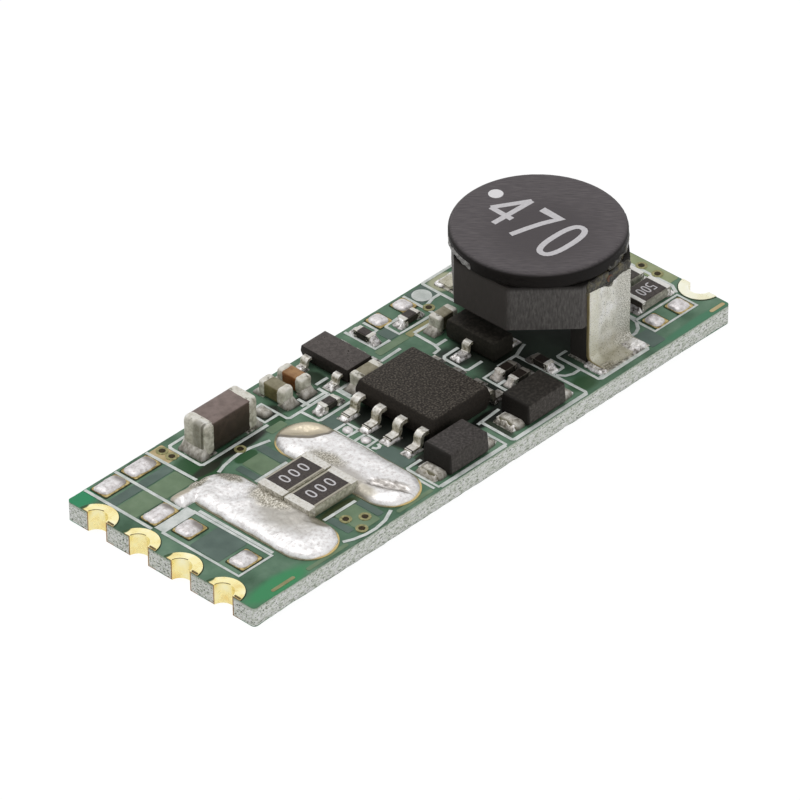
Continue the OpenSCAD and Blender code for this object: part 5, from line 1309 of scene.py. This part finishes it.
def buildCapacitors(look):
    for count, (name, (axis, ceramic, band, curve, edge, swell)) in enumerate(look.items()):
        low, high = nodeBox(name + "_ends")
        inner, outer = nodeBox(name + "_body")
        proud = max(high[2] - outer[2], 0.02)
        # how far a dip's round edge goes under the body's skin
        tuck = curve - math.sqrt(2 * curve * proud - proud * proud)
        low[axis] -= swell
        high[axis] += swell
        inner[axis], outer[axis] = low[axis] + curve, high[axis] - curve
        bm = bmesh.new()
        addLump(bm, inner, outer, edge, rough=0.006, seed=count, cuts=8, grainSize=0.4)
        finishPiece(name + ".chip", bm, ceramic, (name + "_body",), sharp=60)
        bm = bmesh.new()
        for side in (0, 1):
            dip = endOf(low, high, axis, band + tuck, side)
            addLump(bm, *dip, curve, rough=0.016, seed=5.3 * count + side, cuts=11, grainSize=0.18)
        finishPiece(name + ".dips", bm, "dipPlate", (name + "_ends",), sharp=75)


buildCapacitors(capacitorLook)

# Chip resistors: plated ends with worn corners
chipFoot = 0.03  # over the mask
chipEndLook = {  # chips, length of each end, top, round of its edges
    "chip_resistor_ends": (smallChips, 0.25, 0.385, 0.06),
    "sense_resistor_ends": (senseChips[:1], 0.29, 0.545, 0.06),
    "rear_sense_resistor_ends": (senseChips[1:], 0.29, 0.545, 0.06),
    "back_link_ends": (linkChips[:1], 0.46, 0.592, 0.05),
    "front_link_ends": (linkChips[1:], 0.46, 0.592, 0.05),
}


def buildChipEnds(look):
    for count, (nodeName, (chips, band, top, curve)) in enumerate(look.items()):
        bm = bmesh.new()
        seed = 7.0 * count
        for (x0, x1, y0, y1), axis in chips:
            for side in (0, 1):
                end = endOf((x0, y0, chipFoot), (x1, y1, top), axis, band, side)
                addLump(bm, *end, curve, rough=0.012, seed=seed)
                seed += 1
        finishPiece(nodeName + ".plated", bm, "chipPlate", (nodeName,), sharp=75)


buildChipEnds(chipEndLook)
print("chips plated")

# Moulded packages with soft edges
mouldingLook = {  # draft over and under the parting line, its height, edge, finish, slot
    "controller_body": (0.15, 0.15, 0.72, 0.1, "blackMould", "black_mould"),
    "regulator_body": (0.03, 0.12, 0.5, 0.04, "slateMould", "grey_mould"),
    # the switch, with painted shade: its moulding drawn dark all over
    "switch_body": (0.06, 0.04, 0.55, 0.05, "shadeMould", "grey_mould"),
    "freewheel_diode_body": (0.05, 0.03, 0.2, 0.09, "greyMould", "grey_mould"),
    "clamp_diode_body": (0.05, 0.03, 0.2, 0.09, "darkMould", "grey_mould"),
}


def buildMouldings(look):
    for nodeName, (*shape, finish, slotName) in look.items():
        bm = bmesh.new()
        addMoulding(bm, *nodeBox(nodeName), *shape)
        finishPiece(nodeName + ".moulded", bm, finish, (nodeName,), sharp=50)


buildMouldings(mouldingLook)
print("packages moulded")

# Front strap: formed tin strip with a ragged top, and the dark resin above it
strapLook = {
    "span": (7.43, 10.18), "face": -4.07, "thickness": 0.12, "top": 3.8, "foot": -5.02, "bend": 0.3,
    "cells": (44, 70), "seat": 0.04, "ragged": 0.05, "dent": 0.02,
    "notch": [
        (0.0, 0.0), (0.2, 0.05), (0.37, 0.15), (0.53, 0.36), (0.57, 0.3), (0.6, 0.06), (0.7, 0.0),
        (1.0, 0.02),
    ],
}


def tableAt(table, value):
    for (a, p), (b, q) in zip(table, table[1:]):
        if a <= value <= b:
            return p + (q - p) * (value - a) / (b - a)
    return table[-1][1]


def buildStrap(look):
    x0, x1 = look["span"]
    face, bend, top = look["face"], look["bend"], look["top"]
    seat = look["seat"] + look["thickness"]
    rise = top - seat - bend
    arc = bend * math.pi / 2
    flat = abs(look["foot"] - face) - bend
    length = rise + arc + flat
    bm = bmesh.new()
    bmesh.ops.create_grid(bm, x_segments=look["cells"][0], y_segments=look["cells"][1], size=0.5)
    spread = max(v.co.x for v in bm.verts)
    for v in bm.verts:
        across = (v.co.x / spread + 1) / 2
        path = (1 - (v.co.y / spread + 1) / 2) * length  # from the top edge to the toe
        x = x0 + across * (x1 - x0)
        ragged = tableAt(look["notch"], across) + look["ragged"] * noise.noise(Vector((x * 5, 3.0, 1.0)))
        if path < rise:
            path = path + max(ragged, 0.0) * (1 - path / rise) ** 3
            y, z = face, top - path
        elif path < rise + arc:
            turn = (path - rise) / bend
            y = face - bend * (1 - math.cos(turn))
            z = seat + bend * (1 - math.sin(turn))
        else:
            y, z = face - bend - (path - rise - arc), seat
        dent = look["dent"] * noise.noise(Vector((x * 1.6, path * 1.3, 4.0)))
        sideways = dent * min(path / 0.5, 1.0) * (1 if path < rise else 0.3)
        v.co = (x, y + sideways, z + (dent if path > rise else 0))
    bmesh.ops.recalc_face_normals(bm, faces=bm.faces[:])
    if sum(f.normal.y for f in bm.faces) > 0:
        bmesh.ops.reverse_faces(bm, faces=bm.faces[:])
    bmesh.ops.solidify(bm, geom=bm.faces[:], thickness=look["thickness"])
    finishPiece("frontStrap", bm, "strapTin", ("inductor_front_terminal",), sharp=50)


buildStrap(strapLook)

# Resin over the strap and along the flange, and a painted reflection along the flange's left edge
resinLook = {
    "bead": {"shape": (7.4, 10.25, 3.6, 4.26, 0.25), "crown": 0.12, "against": -3.94},
    "centre": (8.535, -0.03),
    # radius, turns, heights, corner, crown, seed
    "rim": (3.99, (-88, -22), (4.22, 4.58), 0.16, 0.07, 37.0),
    # the painted reflection along the flange's left edge
    "glintBand": (4.02, (136, 174), (4.44, 4.7), 0.09, 0.016, 43.0),
}


def addResin(bm, shape, crown, seed):
    flow = {"roll": 0.2, "base": 0.0, "foot": -0.03, "wave": 0.2, "waveSize": 0.35, "lump": 0.05}
    addPuddle(bm, [shape], crown, seed=seed, **flow)


# A band laid flat, then bent round the flange.
def bentBand(centre, radius, turns, heights, corner, crown, seed):
    band = bmesh.new()
    start, end = (math.radians(t) * radius for t in turns)
    addResin(band, (start, end, *heights, corner), crown, seed)
    for v in band.verts:
        around, out = v.co.x / radius, radius + v.co.z
        v.co = (centre[0] + out * math.cos(around), centre[1] + out * math.sin(around), v.co.y)
    return band


def buildResin(look):
    bead = look["bead"]
    bm = bmesh.new()
    addResin(bm, bead["shape"], bead["crown"], 31.0)
    turn = Matrix.Rotation(math.radians(90), 4, "X")
    bmesh.ops.transform(bm, matrix=Matrix.Translation((0, bead["against"], 0)) @ turn, verts=bm.verts[:])
    addCopy(bm, bentBand(look["centre"], *look["rim"]))
    finishPiece("resinBead", bm, "resin", sharp=70)
    # A painted reflection band on the flange's left edge.
    finishPiece("flangeGlint", bentBand(look["centre"], *look["glintBand"]), "paintedRimGlint", sharp=70)


buildResin(resinLook)
print("inductor dressed")
